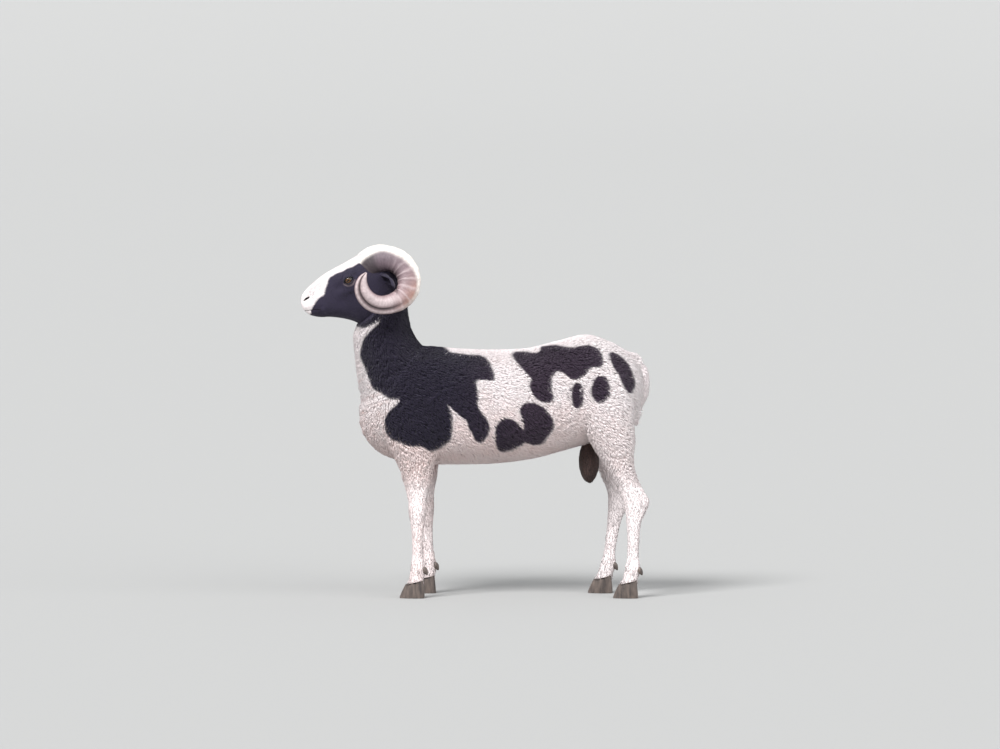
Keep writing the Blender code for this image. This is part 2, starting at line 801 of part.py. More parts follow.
def part_body(body, model, looks):
    """Cuts the body along thin planes into trunk, neck, thighs and legs."""
    white, black, hair = looks["white_wool"], looks["black_wool"], looks["white_hair"]
    up = Vector((0, 0, 1))
    fore_plane = (Vector((0, 0, FORELEG_CUT)), up)
    shank_plane = (Vector((0, 0, SHANK_CUT)), up)
    cell(body, "neck", [turned(NECK_PLANE)], model, black)
    cell(body, "torso", [NECK_PLANE, THIGH_PLANE, turned(fore_plane)], model, white)
    for name, rows, side, swing in LEGS:
        half = (Vector((0, 0, 0)), Vector((0, -side, 0)))
        fore = name.startswith("fore")
        if not fore:
            thigh = name.replace("hindleg", "thigh")
            cell(body, thigh, [half, turned(THIGH_PLANE), turned(shank_plane)], model, white)
        top = fore_plane if fore else shank_plane
        mid_length = (Vector((0.1, 0, 0)), Vector((1 if fore else -1, 0, 0)))
        middle, down = coronet(rows, side, swing)
        cell(body, name, [half, mid_length, top, (middle, down)], model, hair)
        for outward, word in ((1, "outer"), (-1, "inner")):
            made = place(claw(middle, side, outward), f"claw_{name}_{word}", model, looks["hoof"])
            cut_away(made, middle + down * GAP / 2, -down)


def main():
    clear_scene()
    model = bpy.data.collections.new("ram")
    tools = bpy.data.collections.new("tools")
    tools.hide_render = True
    for collection in (model, tools):
        bpy.context.scene.collection.children.link(collection)
    looks = {name: material(name, *look) for name, look in LOOKS.items()}
    make_head_parts(model, tools, looks)
    make_tail(model, looks["white_wool"])
    body = make_fleeced_body(model, tools)
    make_pouch(body, model, tools, looks["black_wool"])
    part_body(body, model, looks)
    bpy.data.objects.remove(body)
    for thing in model.objects:
        thing.data.transform(Matrix.Translation(TO_MIDDLE))


main()
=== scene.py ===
"""How the young two-horned piebald ram looks: one skin, a short summer fleece, hair, horns and hooves.

Metres, +Z up. The ram faces -X and its left side is towards -Y, as in the frame it is built round.
"""

import json
import math

import bmesh
import bpy
import numpy as np
from mathutils import Matrix, Vector, noise
from mathutils.kdtree import KDTree

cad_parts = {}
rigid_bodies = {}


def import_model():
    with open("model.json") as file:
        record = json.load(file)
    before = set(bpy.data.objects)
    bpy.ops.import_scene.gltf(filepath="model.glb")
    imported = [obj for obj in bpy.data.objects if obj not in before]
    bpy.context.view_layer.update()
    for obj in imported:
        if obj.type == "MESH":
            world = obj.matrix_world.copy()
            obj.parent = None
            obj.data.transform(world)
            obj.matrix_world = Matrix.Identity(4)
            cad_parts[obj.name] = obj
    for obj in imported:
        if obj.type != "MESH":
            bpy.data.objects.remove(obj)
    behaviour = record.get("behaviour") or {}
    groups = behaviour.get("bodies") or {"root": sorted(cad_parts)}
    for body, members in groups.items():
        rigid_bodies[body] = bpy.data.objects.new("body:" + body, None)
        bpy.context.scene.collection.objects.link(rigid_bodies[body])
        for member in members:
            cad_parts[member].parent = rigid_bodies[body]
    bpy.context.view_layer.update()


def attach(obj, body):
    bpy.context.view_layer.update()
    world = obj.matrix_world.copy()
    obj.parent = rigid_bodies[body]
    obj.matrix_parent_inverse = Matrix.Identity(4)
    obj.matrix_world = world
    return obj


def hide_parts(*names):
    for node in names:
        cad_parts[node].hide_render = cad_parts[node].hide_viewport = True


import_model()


# The studio
# A pale floor that rises far off like a shallow bowl, a soft sun from the upper left, a weaker one
# from the right and even light from all round. The long lens stands twenty metres off and looks
# slightly down on the animal's left side.
TO_MIDDLE = Vector((0.0001, 0.0045, 0))
LOOKED_AT = Vector((0.067, 0, 0.609)) + TO_MIDDLE
CAMERA_AWAY = 20.0
CAMERA_RISE = math.radians(3)
VIEW_WIDTH = 2.75
FILM_WIDTH = 36
DAYLIGHT = (0.96, 0.98, 1.0, 1)
DAYLIGHT_STRENGTH = 0.71

# Strength, softness, tilt and turn, the last three in degrees
SUNS = (
    ("soft_sun", 3.9, 24, 44, -32),
    ("fill_sun", 1.55, 60, 62, 48),
)
FLOOR_FLAT = 60.0
FLOOR_REACH = 160.0
FLOOR_RISE = 22.0
FLOOR_STEPS = 24
FLOOR_SIDES = 128
FLOOR_GREY = (0.365, 0.365, 0.361, 1)

lens = bpy.data.cameras.new("camera")
lens.sensor_width = FILM_WIDTH
lens.lens = lens.sensor_width * CAMERA_AWAY / VIEW_WIDTH
lens.clip_end = 3 * FLOOR_REACH
camera = bpy.data.objects.new("camera", lens)
bpy.context.scene.collection.objects.link(camera)
backwards = Vector((0, -math.cos(CAMERA_RISE), math.sin(CAMERA_RISE)))
camera.location = LOOKED_AT + backwards * CAMERA_AWAY
camera.rotation_euler = (-backwards).to_track_quat("-Z", "Y").to_euler()
bpy.context.scene.camera = camera

world = bpy.data.worlds.new("even_light")
world.use_nodes = True
world.node_tree.nodes["Background"].inputs["Color"].default_value = DAYLIGHT
world.node_tree.nodes["Background"].inputs["Strength"].default_value = DAYLIGHT_STRENGTH
bpy.context.scene.world = world
bpy.context.scene.view_settings.view_transform = "Standard"
for name, strength, softness, tilt, turn in SUNS:
    sun = bpy.data.lights.new(name, "SUN")
    sun.energy = strength
    sun.angle = math.radians(softness)
    lamp = bpy.data.objects.new(name, sun)
    lamp.rotation_euler = (math.radians(tilt), 0, math.radians(turn))
    bpy.context.scene.collection.objects.link(lamp)


def new_material(name, roughness, **sockets):
    """A material, its node tree and its shader, with the named sockets set to even values."""
    made = bpy.data.materials.new(name)
    made.use_nodes = True
    shader = made.node_tree.nodes["Principled BSDF"]
    shader.inputs["Roughness"].default_value = roughness
    for socket, value in sockets.items():
        shader.inputs[socket.replace("_", " ")].default_value = value
    return made, made.node_tree, shader


def add_node(tree, kind, **settings):
    """A new node. A setting is one of its inputs, with _ for each space, or one of its options."""
    node = tree.nodes.new("ShaderNode" + kind)
    for key, value in settings.items():
        if key.replace("_", " ") in node.inputs:
            node.inputs[key.replace("_", " ")].default_value = value
        else:
            setattr(node, key, value)
    return node


def link(tree, *runs):
    """Joins nodes by runs of four: a node, its output, the next node and that one's input."""
    for node, output, following, socket in runs:
        tree.links.new(node.outputs[output], following.inputs[socket])


def make_object(mesh, name, material=None):
    """The bmesh as a smooth object of the scene."""
    data = bpy.data.meshes.new(name)
    mesh.to_mesh(data)
    mesh.free()
    data.polygons.foreach_set("use_smooth", [True] * len(data.polygons))
    made = bpy.data.objects.new(name, data)
    bpy.context.scene.collection.objects.link(made)
    if material:
        data.materials.append(material)
    return made


floor_mesh = bmesh.new()
bmesh.ops.create_circle(floor_mesh, cap_ends=True, segments=FLOOR_SIDES, radius=FLOOR_FLAT)
rim = [edge for edge in floor_mesh.edges if edge.is_boundary]
for step in range(1, FLOOR_STEPS + 1):
    share = step / FLOOR_STEPS
    grown_rim = bmesh.ops.extrude_edge_only(floor_mesh, edges=rim)["geom"]
    rim = [part for part in grown_rim if isinstance(part, bmesh.types.BMEdge)]
    for vert in {vert for edge in rim for vert in edge.verts}:
        out = vert.co.xy.normalized() * (FLOOR_FLAT + (FLOOR_REACH - FLOOR_FLAT) * share)
        vert.co = (*out, FLOOR_RISE * share**2)
floor_look, _, _ = new_material("pale_floor", 0.9, Base_Color=FLOOR_GREY)
make_object(floor_mesh, "floor", floor_look)


# The skin of trunk, neck and legs
# Under the fleece the animal is one smooth skin. The sizes are those out to the tips of the
# wool, and the skin lies inside them by the wool's depth, which runs out down the legs. Each
# grid gives a tube's number of rings and of points round them.
WOOL_DEPTH = 0.0145
HAIR_DEPTH = 0.0012
WOOL_LINE = 0.300
WOOL_EASE = 0.10
SKIN_GRAIN = 0.00582
SKIN_EASING = 4

# From chest to rump: x, back height, belly height, half width, height of the widest line
TRUNK = (
    (-0.311, 0.540, 0.468, 0.034, 0.503),
    (-0.298, 0.581, 0.430, 0.074, 0.501),
    (-0.262, 0.640, 0.390, 0.110, 0.500),
    (-0.205, 0.682, 0.366, 0.131, 0.510),
    (-0.135, 0.694, 0.356, 0.143, 0.515),
    (-0.050, 0.686, 0.355, 0.153, 0.510),
    (0.050, 0.683, 0.358, 0.161, 0.505),
    (0.145, 0.688, 0.370, 0.158, 0.510),
    (0.230, 0.708, 0.392, 0.147, 0.525),
    (0.300, 0.724, 0.412, 0.140, 0.545),
    (0.360, 0.708, 0.428, 0.129, 0.560),
    (0.410, 0.680, 0.452, 0.107, 0.570),
    (0.438, 0.650, 0.490, 0.078, 0.575),
    (0.452, 0.620, 0.535, 0.040, 0.580),
)
TRUNK_POWER = 2.25
TRUNK_GRID = (90, 72)

# From inside the chest to the skull: z, front, back, half width
NECK = (
    (0.500, -0.300, -0.120, 0.095),
    (0.560, -0.324, -0.105, 0.112),
    (0.620, -0.334, -0.112, 0.106),
    (0.670, -0.339, -0.132, 0.095),
    (0.715, -0.342, -0.162, 0.083),
    (0.755, -0.338, -0.176, 0.074),
    (0.800, -0.322, -0.182, 0.067),
    (0.845, -0.306, -0.190, 0.060),
    (0.885, -0.292, -0.205, 0.052),
    (0.915, -0.276, -0.226, 0.034),
)
NECK_POWER = 2.15
NECK_GRID = (60, 64)

# From the shoulder and the haunch to inside the hoof: z, front, back, inner side, outer side
FORELEG = (
    (0.655, -0.200, -0.080, 0.020, 0.098),
    (0.600, -0.240, -0.058, 0.020, 0.128),
    (0.540, -0.266, -0.056, 0.028, 0.145),
    (0.480, -0.272, -0.068, 0.034, 0.149),
    (0.430, -0.256, -0.084, 0.040, 0.143),
    (0.390, -0.232, -0.100, 0.047, 0.132),
    (0.350, -0.210, -0.112, 0.056, 0.121),
    (0.305, -0.195, -0.124, 0.062, 0.112),
    (0.268, -0.186, -0.132, 0.066, 0.108),
    (0.236, -0.185, -0.134, 0.063, 0.110),
    (0.206, -0.180, -0.138, 0.066, 0.106),
    (0.170, -0.176, -0.142, 0.070, 0.102),
    (0.118, -0.175, -0.142, 0.070, 0.102),
    (0.086, -0.179, -0.137, 0.066, 0.106),
    (0.062, -0.182, -0.138, 0.066, 0.106),
    (0.030, -0.188, -0.148, 0.066, 0.106),
)
HINDLEG = (
    (0.650, 0.255, 0.405, 0.020, 0.100),
    (0.590, 0.246, 0.440, 0.022, 0.132),
    (0.530, 0.258, 0.440, 0.026, 0.143),
    (0.480, 0.280, 0.441, 0.032, 0.141),
    (0.435, 0.302, 0.445, 0.036, 0.134),
    (0.395, 0.327, 0.442, 0.043, 0.125),
    (0.358, 0.353, 0.440, 0.050, 0.117),
    (0.322, 0.376, 0.448, 0.057, 0.111),
    (0.292, 0.394, 0.464, 0.062, 0.108),
    (0.266, 0.404, 0.478, 0.064, 0.107),
    (0.238, 0.409, 0.469, 0.065, 0.106),
    (0.205, 0.412, 0.455, 0.068, 0.104),
    (0.155, 0.415, 0.450, 0.069, 0.102),
    (0.112, 0.414, 0.449, 0.069, 0.102),
    (0.084, 0.409, 0.453, 0.066, 0.106),
    (0.060, 0.404, 0.449, 0.066, 0.106),
    (0.030, 0.395, 0.437, 0.066, 0.106),
)
LEG_POWER = 2.2
LEG_GRID = (110, 40)
LEG_SWING_TOP = 0.60

# Each leg's name, sizes and side, and how far back its foot stands from where the sizes put it
LEGS = (
    ("foreleg_left", FORELEG, -1, 0.0),
    ("foreleg_right", FORELEG, 1, 0.030),
    ("hindleg_left", HINDLEG, -1, 0.0),
    ("hindleg_right", HINDLEG, 1, -0.068),
)

# Tail: x, z, half depth, half width; and the pouch between the thighs, its middle and half sizes
TAIL = (
    (0.420, 0.664, 0.0160, 0.022),
    (0.441, 0.645, 0.0170, 0.024),
    (0.4585, 0.612, 0.0175, 0.026),
    (0.4625, 0.578, 0.0175, 0.026),
    (0.4585, 0.545, 0.0165, 0.025),
    (0.4465, 0.516, 0.0140, 0.022),
    (0.4385, 0.488, 0.0110, 0.018),
    (0.4350, 0.464, 0.0060, 0.009),
)
TAIL_GRID = (40, 24)
TAIL_WOOL = 0.008
TAIL_WOOL_BEHIND = 0.7
TAIL_SLOPE = 0.3
POUCH = Vector((0.312, 0, 0.372))
POUCH_SIZE = Vector((0.028, 0.032, 0.061))

# Loose folds of skin that run down and back across the breast
FOLD_MIDDLE = Vector((-0.285, 0, 0.520))
FOLD_REACH = Vector((0.085, 0.16, 0.105))
FOLD_WAY = Vector((-0.50, 0, 0.866))
FOLD_APART = 0.026
FOLD_HEIGHT = 0.0008
FOLD_WANDER = 0.012
FOLD_WANDERS_A_METRE = 14

# The throat's lower end fills the hollow between neck and breast: middle and half sizes
BREAST = Vector((-0.245, 0, 0.560))
BREAST_SIZE = Vector((0.0530, 0.068, 0.060))
LUMP_GRID = (32, 24)

# Places where the skin runs smoothly from part to part: middle and reach
EASED = (
    ((-0.300, 0.0, 0.550), 0.090),
    ((-0.120, 0.0, 0.690), 0.060),
    ((0.440, 0.0, 0.665), 0.050),
    ((0.440, 0.0, 0.450), 0.060),
)
NOTCH_EASING = 40


def smoothstep(x):
    x = np.clip(x, 0.0, 1.0)
    return x * x * (3 - 2 * x)


def eased(rows, count):
    """Rows of sizes resampled evenly along a smooth curve through them all."""
    table = np.array(rows, float)
    padded = np.vstack([2 * table[0] - table[1], table, 2 * table[-1] - table[-2]])
    places = np.linspace(0, len(table) - 1, count)
    start = np.minimum(places.astype(int), len(table) - 2)
    t = (places - start)[:, None]
    a, b, c, d = (padded[start + k] for k in range(4))
    return 0.5 * (
        2 * b + (c - a) * t + (2 * a - 5 * b + 4 * c - d) * t**2
        + (3 * b - a - 3 * c + d) * t**3
    )


def rounded(angle, power):
    """A point of a unit superellipse: a circle at power 2, squarer above it."""
    c, s = math.cos(angle), math.sin(angle)
    return (
        math.copysign(abs(c) ** (2 / power), c),
        math.copysign(abs(s) ** (2 / power), s),
    )


def tube(rows, around, point):
    """A closed tube: a grid rolled up so that each of its rows follows a row of sizes."""
    mesh = bmesh.new()
    along = len(rows) - 1
    bmesh.ops.create_grid(mesh, x_segments=around, y_segments=along, size=0.5)
    for vert in mesh.verts:
        row = rows[round((vert.co.y + 0.5) * along)]
        turn = round((vert.co.x + 0.5) * around) % around
        vert.co = point(row, 2 * math.pi * turn / around)
    bmesh.ops.remove_doubles(mesh, verts=mesh.verts, dist=1e-6)
    bmesh.ops.holes_fill(mesh, edges=[e for e in mesh.edges if e.is_boundary])
    bmesh.ops.recalc_face_normals(mesh, faces=mesh.faces)
    return mesh


def eased_tube(rows, grid, point):
    return tube(eased(rows, grid[0]), grid[1], point)


def join(mesh, other):
    """Adds the other bmesh to the first."""
    data = bpy.data.meshes.new("part")
    other.to_mesh(data)
    other.free()
    mesh.from_mesh(data)
    bpy.data.meshes.remove(data)


def apply_modifiers(thing):
    graph = bpy.context.evaluated_depsgraph_get()
    data = bpy.data.meshes.new_from_object(thing.evaluated_get(graph))
    old = thing.data
    thing.modifiers.clear()
    thing.data = data
    bpy.data.meshes.remove(old)
    return thing


def ease(thing, rounds, group=""):
    """Smooths the object, or only what its vertex group holds, in this many rounds."""
    smooth = thing.modifiers.new("Ease", "SMOOTH")
    smooth.factor = 0.5
    smooth.iterations = rounds
    smooth.vertex_group = group
    return apply_modifiers(thing)


def fuse(thing, grain, rounds):
    """Makes one closed even surface of what overlaps, and eases it."""
    remesh = thing.modifiers.new("Fuse", "REMESH")
    remesh.mode = "VOXEL"
    remesh.voxel_size = grain
    return ease(thing, rounds)


def trunk_point(row, turn):
    x, top, bottom, half, widest = row
    c, s = rounded(turn, TRUNK_POWER)
    rise = top - widest if s > 0 else widest - bottom
    return x, c * (half - WOOL_DEPTH), widest + s * (rise - WOOL_DEPTH)


def level_point(row, turn, power, inset):
    """A point of a level ring, moved in by the inset."""
    z, front, back, inner, outer = row
    c, s = rounded(turn, power)
    return (
        (front + back) / 2 + c * ((back - front) / 2 - inset),
        (inner + outer) / 2 + s * ((outer - inner) / 2 - inset),
        z,
    )


def neck_point(row, turn):
    z, front, back, half = row
    return level_point((z, front, back, -half, half), turn, NECK_POWER, WOOL_DEPTH)


def swung(z, swing):
    """How far back a leg of this swing stands at this height."""
    return swing * float(smoothstep((LEG_SWING_TOP - z) / LEG_SWING_TOP))


def leg_point(side, swing):
    def point(row, turn):
        inset = WOOL_DEPTH * float(smoothstep((row[0] - WOOL_LINE) / WOOL_EASE)) + HAIR_DEPTH
        x, y, z = level_point(row, turn, LEG_POWER, inset)
        return x + swung(z, swing), y * side, z
    return point


def tail_point(row, turn):
    """The dock hangs nearly upright, so that its rings are level enough to stack."""
    x, z, deep, half = row
    return (
        x + (deep - TAIL_WOOL * TAIL_WOOL_BEHIND) * math.cos(turn),
        (half - TAIL_WOOL) * math.sin(turn),
        z + TAIL_SLOPE * deep * math.cos(turn),
    )


body_mesh = eased_tube(TRUNK, TRUNK_GRID, trunk_point)
join(body_mesh, eased_tube(NECK, NECK_GRID, neck_point))
for _, rows, side, swing in LEGS:
    join(body_mesh, eased_tube(rows, LEG_GRID, leg_point(side, swing)))
join(body_mesh, eased_tube(TAIL, TAIL_GRID, tail_point))
for middle, size in ((POUCH, POUCH_SIZE), (BREAST, BREAST_SIZE)):
    lump = bmesh.new()
    bmesh.ops.create_uvsphere(lump, u_segments=LUMP_GRID[0], v_segments=LUMP_GRID[1], radius=1.0)
    bmesh.ops.scale(lump, verts=lump.verts, vec=size)
    bmesh.ops.translate(lump, verts=lump.verts, vec=middle)
    join(body_mesh, lump)
body = fuse(make_object(body_mesh, "body"), SKIN_GRAIN, SKIN_EASING)

# Where neck, breast, dock and haunches run into the trunk the skin fills the notches
soft = body.vertex_groups.new(name="soft")
for vert in body.data.vertices:
    for middle, reach in EASED:
        share = 1 - (vert.co - Vector(middle)).length / reach
        if share > 0:
            soft.add([vert.index], min(1.0, 2 * share), "REPLACE")
ease(body, NOTCH_EASING, soft.name)
body.vertex_groups.clear()
outward = [vert.normal.copy() for vert in body.data.vertices]
for vert, way in zip(body.data.vertices, outward):
    off = vert.co - FOLD_MIDDLE
    near = sum((off[k] / FOLD_REACH[k]) ** 2 for k in range(3))
    if near < 1:
        strayed = FOLD_WANDER * noise.noise(vert.co * FOLD_WANDERS_A_METRE)
        fold = math.sin(2 * math.pi * (off.dot(FOLD_WAY) + strayed) / FOLD_APART)
        vert.co += way * FOLD_HEIGHT * fold * (1 - near)


# The head
# A long, slightly arched face with a deep jaw. It is modelled level, nose along +X, from rings
# of half widths, then bossed and hollowed over brow, cheek, nose wings and lips.
SKULL = Vector((-0.250, 0, 0.9075))
HEAD_PITCH = math.radians(20)
HEAD_YAW = math.radians(10)
HEAD_GRAIN = 0.00175
HEAD_EASING = 3
HEAD_GRID = (170, 160)
HEAD_SPAN = 16

# From poll to nose: x, top, bottom, and half widths at five levels from the top down
HEAD_LEVELS = (0.93, 0.75, 0.5, 0.25, 0.07)
HEAD = (
    (-0.042, 0.008, -0.050, 0.009, 0.015, 0.016, 0.014, 0.009),
    (-0.025, 0.034, -0.074, 0.022, 0.036, 0.040, 0.036, 0.022),
    (0.010, 0.052, -0.098, 0.032, 0.046, 0.052, 0.048, 0.032),
    (0.050, 0.056, -0.127, 0.036, 0.052, 0.056, 0.052, 0.034),
    (0.085, 0.051, -0.141, 0.038, 0.057, 0.056, 0.049, 0.031),
    (0.112, 0.047, -0.133, 0.036, 0.059, 0.053, 0.045, 0.028),
    (0.136, 0.044, -0.111, 0.029, 0.046, 0.046, 0.040, 0.025),
    (0.165, 0.039, -0.092, 0.020, 0.031, 0.036, 0.035, 0.021),
    (0.200, 0.028, -0.075, 0.017, 0.025, 0.030, 0.031, 0.019),
    (0.226, 0.017, -0.065, 0.017, 0.025, 0.029, 0.028, 0.017),
    (0.243, 0.005, -0.053, 0.013, 0.020, 0.022, 0.020, 0.012),
    (0.252, -0.010, -0.037, 0.006, 0.010, 0.011, 0.009, 0.006),
    (0.2545, -0.020, -0.028, 0.001, 0.002, 0.003, 0.002, 0.001),
)

# Where the face rises or sinks: middle, reach and height of each soft boss, on both sides
FACE_FORMS = (
    ("brow", (0.100, 0.050, 0.024), (0.024, 0.016, 0.012), 0.0040),
    ("cheekbone", (0.118, 0.050, -0.026), (0.030, 0.016, 0.008), 0.0028),
    ("tear hollow", (0.140, 0.040, -0.006), (0.016, 0.014, 0.010), -0.0030),
    ("jaw muscle", (0.062, 0.054, -0.078), (0.030, 0.018, 0.032), 0.0030),
    ("cheek hollow", (0.150, 0.040, -0.050), (0.030, 0.016, 0.016), -0.0022),
    ("nose wing", (0.228, 0.025, 0.003), (0.014, 0.010, 0.008), 0.0028),
    ("wing groove", (0.214, 0.028, -0.008), (0.010, 0.010, 0.005), -0.0016),
    ("upper lip", (0.234, 0.022, -0.028), (0.018, 0.012, 0.0075), 0.0030),
    ("lower lip", (0.228, 0.018, -0.049), (0.016, 0.012, 0.006), 0.0022),
    ("chin", (0.206, 0.010, -0.068), (0.018, 0.014, 0.010), 0.0026),
    ("lip corner", (0.206, 0.029, -0.043), (0.008, 0.010, 0.006), -0.0018),
    ("lip cleft", (0.252, 0.0, -0.021), (0.014, 0.0030, 0.015), -0.0034),
)
EYE = Vector((0.112, 0.047, 0.003))
EYE_RADIUS = 0.014
EYE_ROOM = 0.0003
EYE_TURN = math.radians(22)
LID_THICKNESS = 0.0026
LID_OPENING = (0.0128, 0.0076)
LID_SLANT = math.radians(14)
LID_FOLD_RADIUS = 0.0195
LID_FOLD_DEPTH = 0.0012
LID_FOLD_WIDTH = 0.0018
LOWER_LID = 0.8
LID_CURVE = 1.15
LID_FLARE = 1.5
LID_BLOCK = 0.03
FACE_SIDE = 0.02
EAR_ROOT = Vector((0.013, 0.044, -0.020))
EAR_TIP = Vector((0.018, 0.136, -0.050))
EAR_BACK = Vector((-1, 0.1, 0.25))
EAR_HALF_WIDTH = 0.0190
EAR_THICKNESS = 0.0034
EAR_ROLL = 112
EAR_UNROLLING = 72
EAR_UNROLLED_AT = 0.75
EAR_GRID = (36, 28)
NOSTRIL = Vector((0.2365, 0.0200, -0.0070))
NOSTRIL_SIZE = (0.0115, 0.0046, 0.0025)
NOSTRIL_FRONT = (0.0038, 0.0044, 0.0034)
NOSTRIL_FRONT_AT = 0.62
NOSTRIL_FRONT_DROP = 0.0012
NOSTRIL_SLANT = math.radians(14)
NOSTRIL_TURN = math.radians(48)
MOUTH = Vector((0.239, 0, -0.0395))
MOUTH_SIZE = (0.056, 0.090, 0.0013)
MOUTH_FALL = 0.0035
MOUTH_FALL_START = 0.004
MOUTH_FALL_REACH = 0.026
MOUTH_TILT = math.radians(-9)

head_place = (
    Matrix.Translation(SKULL) @ Matrix.Rotation(math.pi + HEAD_YAW, 4, "Z")
    @ Matrix.Rotation(HEAD_PITCH, 4, "Y")
)


def head_outline(row):
    """A ring across the head, smooth through the half widths at their levels."""
    x, top, bottom, *halves = row
    right = [(half, bottom + level * (top - bottom)) for half, level in zip(halves, HEAD_LEVELS)]
    outline = [(0, top), *right, (0, bottom), *[(-y, z) for y, z in reversed(right)]]
    around = [outline[-1], *outline, outline[0], outline[1]]
    ring = eased(around, (len(around) - 1) * HEAD_SPAN + 1)[HEAD_SPAN:-HEAD_SPAN]
    picks = np.linspace(0, len(ring) - 1, HEAD_GRID[1] + 1)[:-1]
    return [(x, *ring[int(pick)]) for pick in picks]


def head_point(ring, turn):
    return ring[round(turn / (2 * math.pi) * len(ring)) % len(ring)]


head_rings = [head_outline(row) for row in eased(HEAD, HEAD_GRID[0])]
head_mesh = tube(head_rings, HEAD_GRID[1], head_point)
head_mesh.normal_update()
for vert in head_mesh.verts:
    x, y, z = vert.co.x, abs(vert.co.y), vert.co.z
    rise = -HAIR_DEPTH
    for _, middle, reach, height in FACE_FORMS:
        away = sum(((a - b) / c) ** 2 for a, b, c in zip((x, y, z), middle, reach))
        rise += height * math.exp(-away)
    out = math.hypot(x - EYE.x, z - EYE.z)
    if y > FACE_SIDE and z > EYE.z:
        rise -= LID_FOLD_DEPTH * math.exp(-((out - LID_FOLD_RADIUS) / LID_FOLD_WIDTH) ** 2)
    vert.co += vert.normal * rise


def eye_place(side):
    """From the eye's own frame, which looks along +Y, to the head's."""
    return (
        Matrix.Translation((EYE.x, EYE.y * side, EYE.z)) @ Matrix.Rotation(-side * EYE_TURN, 4, "Z")
        @ Matrix.Rotation(LID_SLANT, 4, "Y") @ Matrix.Diagonal((1, side, 1, 1))
    )


def ball(radius, matrix, across=32, along=24):
    mesh = bmesh.new()
    bmesh.ops.create_uvsphere(mesh, u_segments=across, v_segments=along, radius=radius)
    bmesh.ops.transform(mesh, matrix=matrix, verts=mesh.verts)
    bmesh.ops.recalc_face_normals(mesh, faces=mesh.faces)
    return mesh


def ear(side):
    """A cupped leaf, rolled at its root and open towards the front, with a wall of even thickness."""
    axis = (EAR_TIP - EAR_ROOT).normalized()
    back = (EAR_BACK - axis * EAR_BACK.dot(axis)).normalized()
    up = axis.cross(back)
    mesh = bmesh.new()
    bmesh.ops.create_grid(mesh, x_segments=EAR_GRID[0], y_segments=EAR_GRID[1], size=0.5)
    for vert in mesh.verts:
        u, v = vert.co.x + 0.5, vert.co.y * 2
        width = EAR_HALF_WIDTH * (0.60 + 0.75 * u - 1.12 * u**3.4)
        roll = math.radians(EAR_ROLL - EAR_UNROLLING * smoothstep(u / EAR_UNROLLED_AT))
        radius = width / max(math.sin(min(roll, math.pi / 2)), 0.3)
        vert.co = (
            EAR_ROOT + axis * (EAR_TIP - EAR_ROOT).length * u
            + back * radius * (math.cos(roll * v) - 0.5) + up * radius * math.sin(roll * v)
        )
        vert.co.y *= side
    bmesh.ops.recalc_face_normals(mesh, faces=mesh.faces)
    bmesh.ops.solidify(mesh, geom=mesh.faces[:], thickness=EAR_THICKNESS)
    bmesh.ops.recalc_face_normals(mesh, faces=mesh.faces)
    return mesh


for side in (-1, 1):
    join(head_mesh, ball(EYE_RADIUS + LID_THICKNESS, eye_place(side)))
    join(head_mesh, ear(side))
head = fuse(make_object(head_mesh, "head"), HEAD_GRAIN, HEAD_EASING)


def almond(side):
    """The opening between the lids, as a block that widens outwards."""
    mesh = bmesh.new()
    bmesh.ops.create_circle(mesh, cap_ends=True, segments=40, radius=1.0)
    for vert in mesh.verts:
        long, high = vert.co.x, vert.co.y
        high = math.copysign(abs(high) ** LID_CURVE, high) * (1.0 if high > 0 else LOWER_LID)
        vert.co = (long * LID_OPENING[0], 0.0, high * LID_OPENING[1])
    grown = bmesh.ops.extrude_face_region(mesh, geom=mesh.faces[:])
    for vert in grown["geom"]:
        if isinstance(vert, bmesh.types.BMVert):
            vert.co = (vert.co.x * LID_FLARE, LID_BLOCK, vert.co.z * LID_FLARE)
    bmesh.ops.transform(mesh, matrix=eye_place(side), verts=mesh.verts)
    bmesh.ops.recalc_face_normals(mesh, faces=mesh.faces)
    return mesh


def nostril_place(side):
    """The nostril's own frame: a slit that runs from beside the lip's cleft up and back."""
    turn = Matrix.Rotation(-side * NOSTRIL_TURN, 4, "Z") @ Matrix.Rotation(NOSTRIL_SLANT, 4, "Y")
    return Matrix.Translation((NOSTRIL.x, NOSTRIL.y * side, NOSTRIL.z)) @ turn


def nostril_cuts(side):
    """A comma: a slim slit with a rounder hole at its front."""
    front = Matrix.Translation((NOSTRIL_FRONT_AT * NOSTRIL_SIZE[0], 0, -NOSTRIL_FRONT_DROP))
    return [
        ball(1.0, nostril_place(side) @ Matrix.Diagonal((*NOSTRIL_SIZE, 1)), 28, 16),
        ball(1.0, nostril_place(side) @ front @ Matrix.Diagonal((*NOSTRIL_FRONT, 1)), 24, 14),
    ]


def boolean(thing, operation, cutters):
    """Joins to the object, or cuts from it, the given bmeshes, and removes what is left of them."""
    holder = bpy.data.collections.new("cutters")
    bpy.context.scene.collection.children.link(holder)
    for cutter in cutters:
        tool = make_object(cutter, "cutter")
        bpy.context.scene.collection.objects.unlink(tool)
        holder.objects.link(tool)
    step = thing.modifiers.new("Cut", "BOOLEAN")
    step.operation = operation
    step.solver = "MANIFOLD"
    step.operand_type = "COLLECTION"
    step.collection = holder
    apply_modifiers(thing)
    for tool in list(holder.objects):
        bpy.data.objects.remove(tool)
    bpy.data.collections.remove(holder)


def mouth_fall(along):
    """How far the line of the lips turns down behind its middle, towards the corners."""
    return MOUTH_FALL * smoothstep((-along - MOUTH_FALL_START) / MOUTH_FALL_REACH)


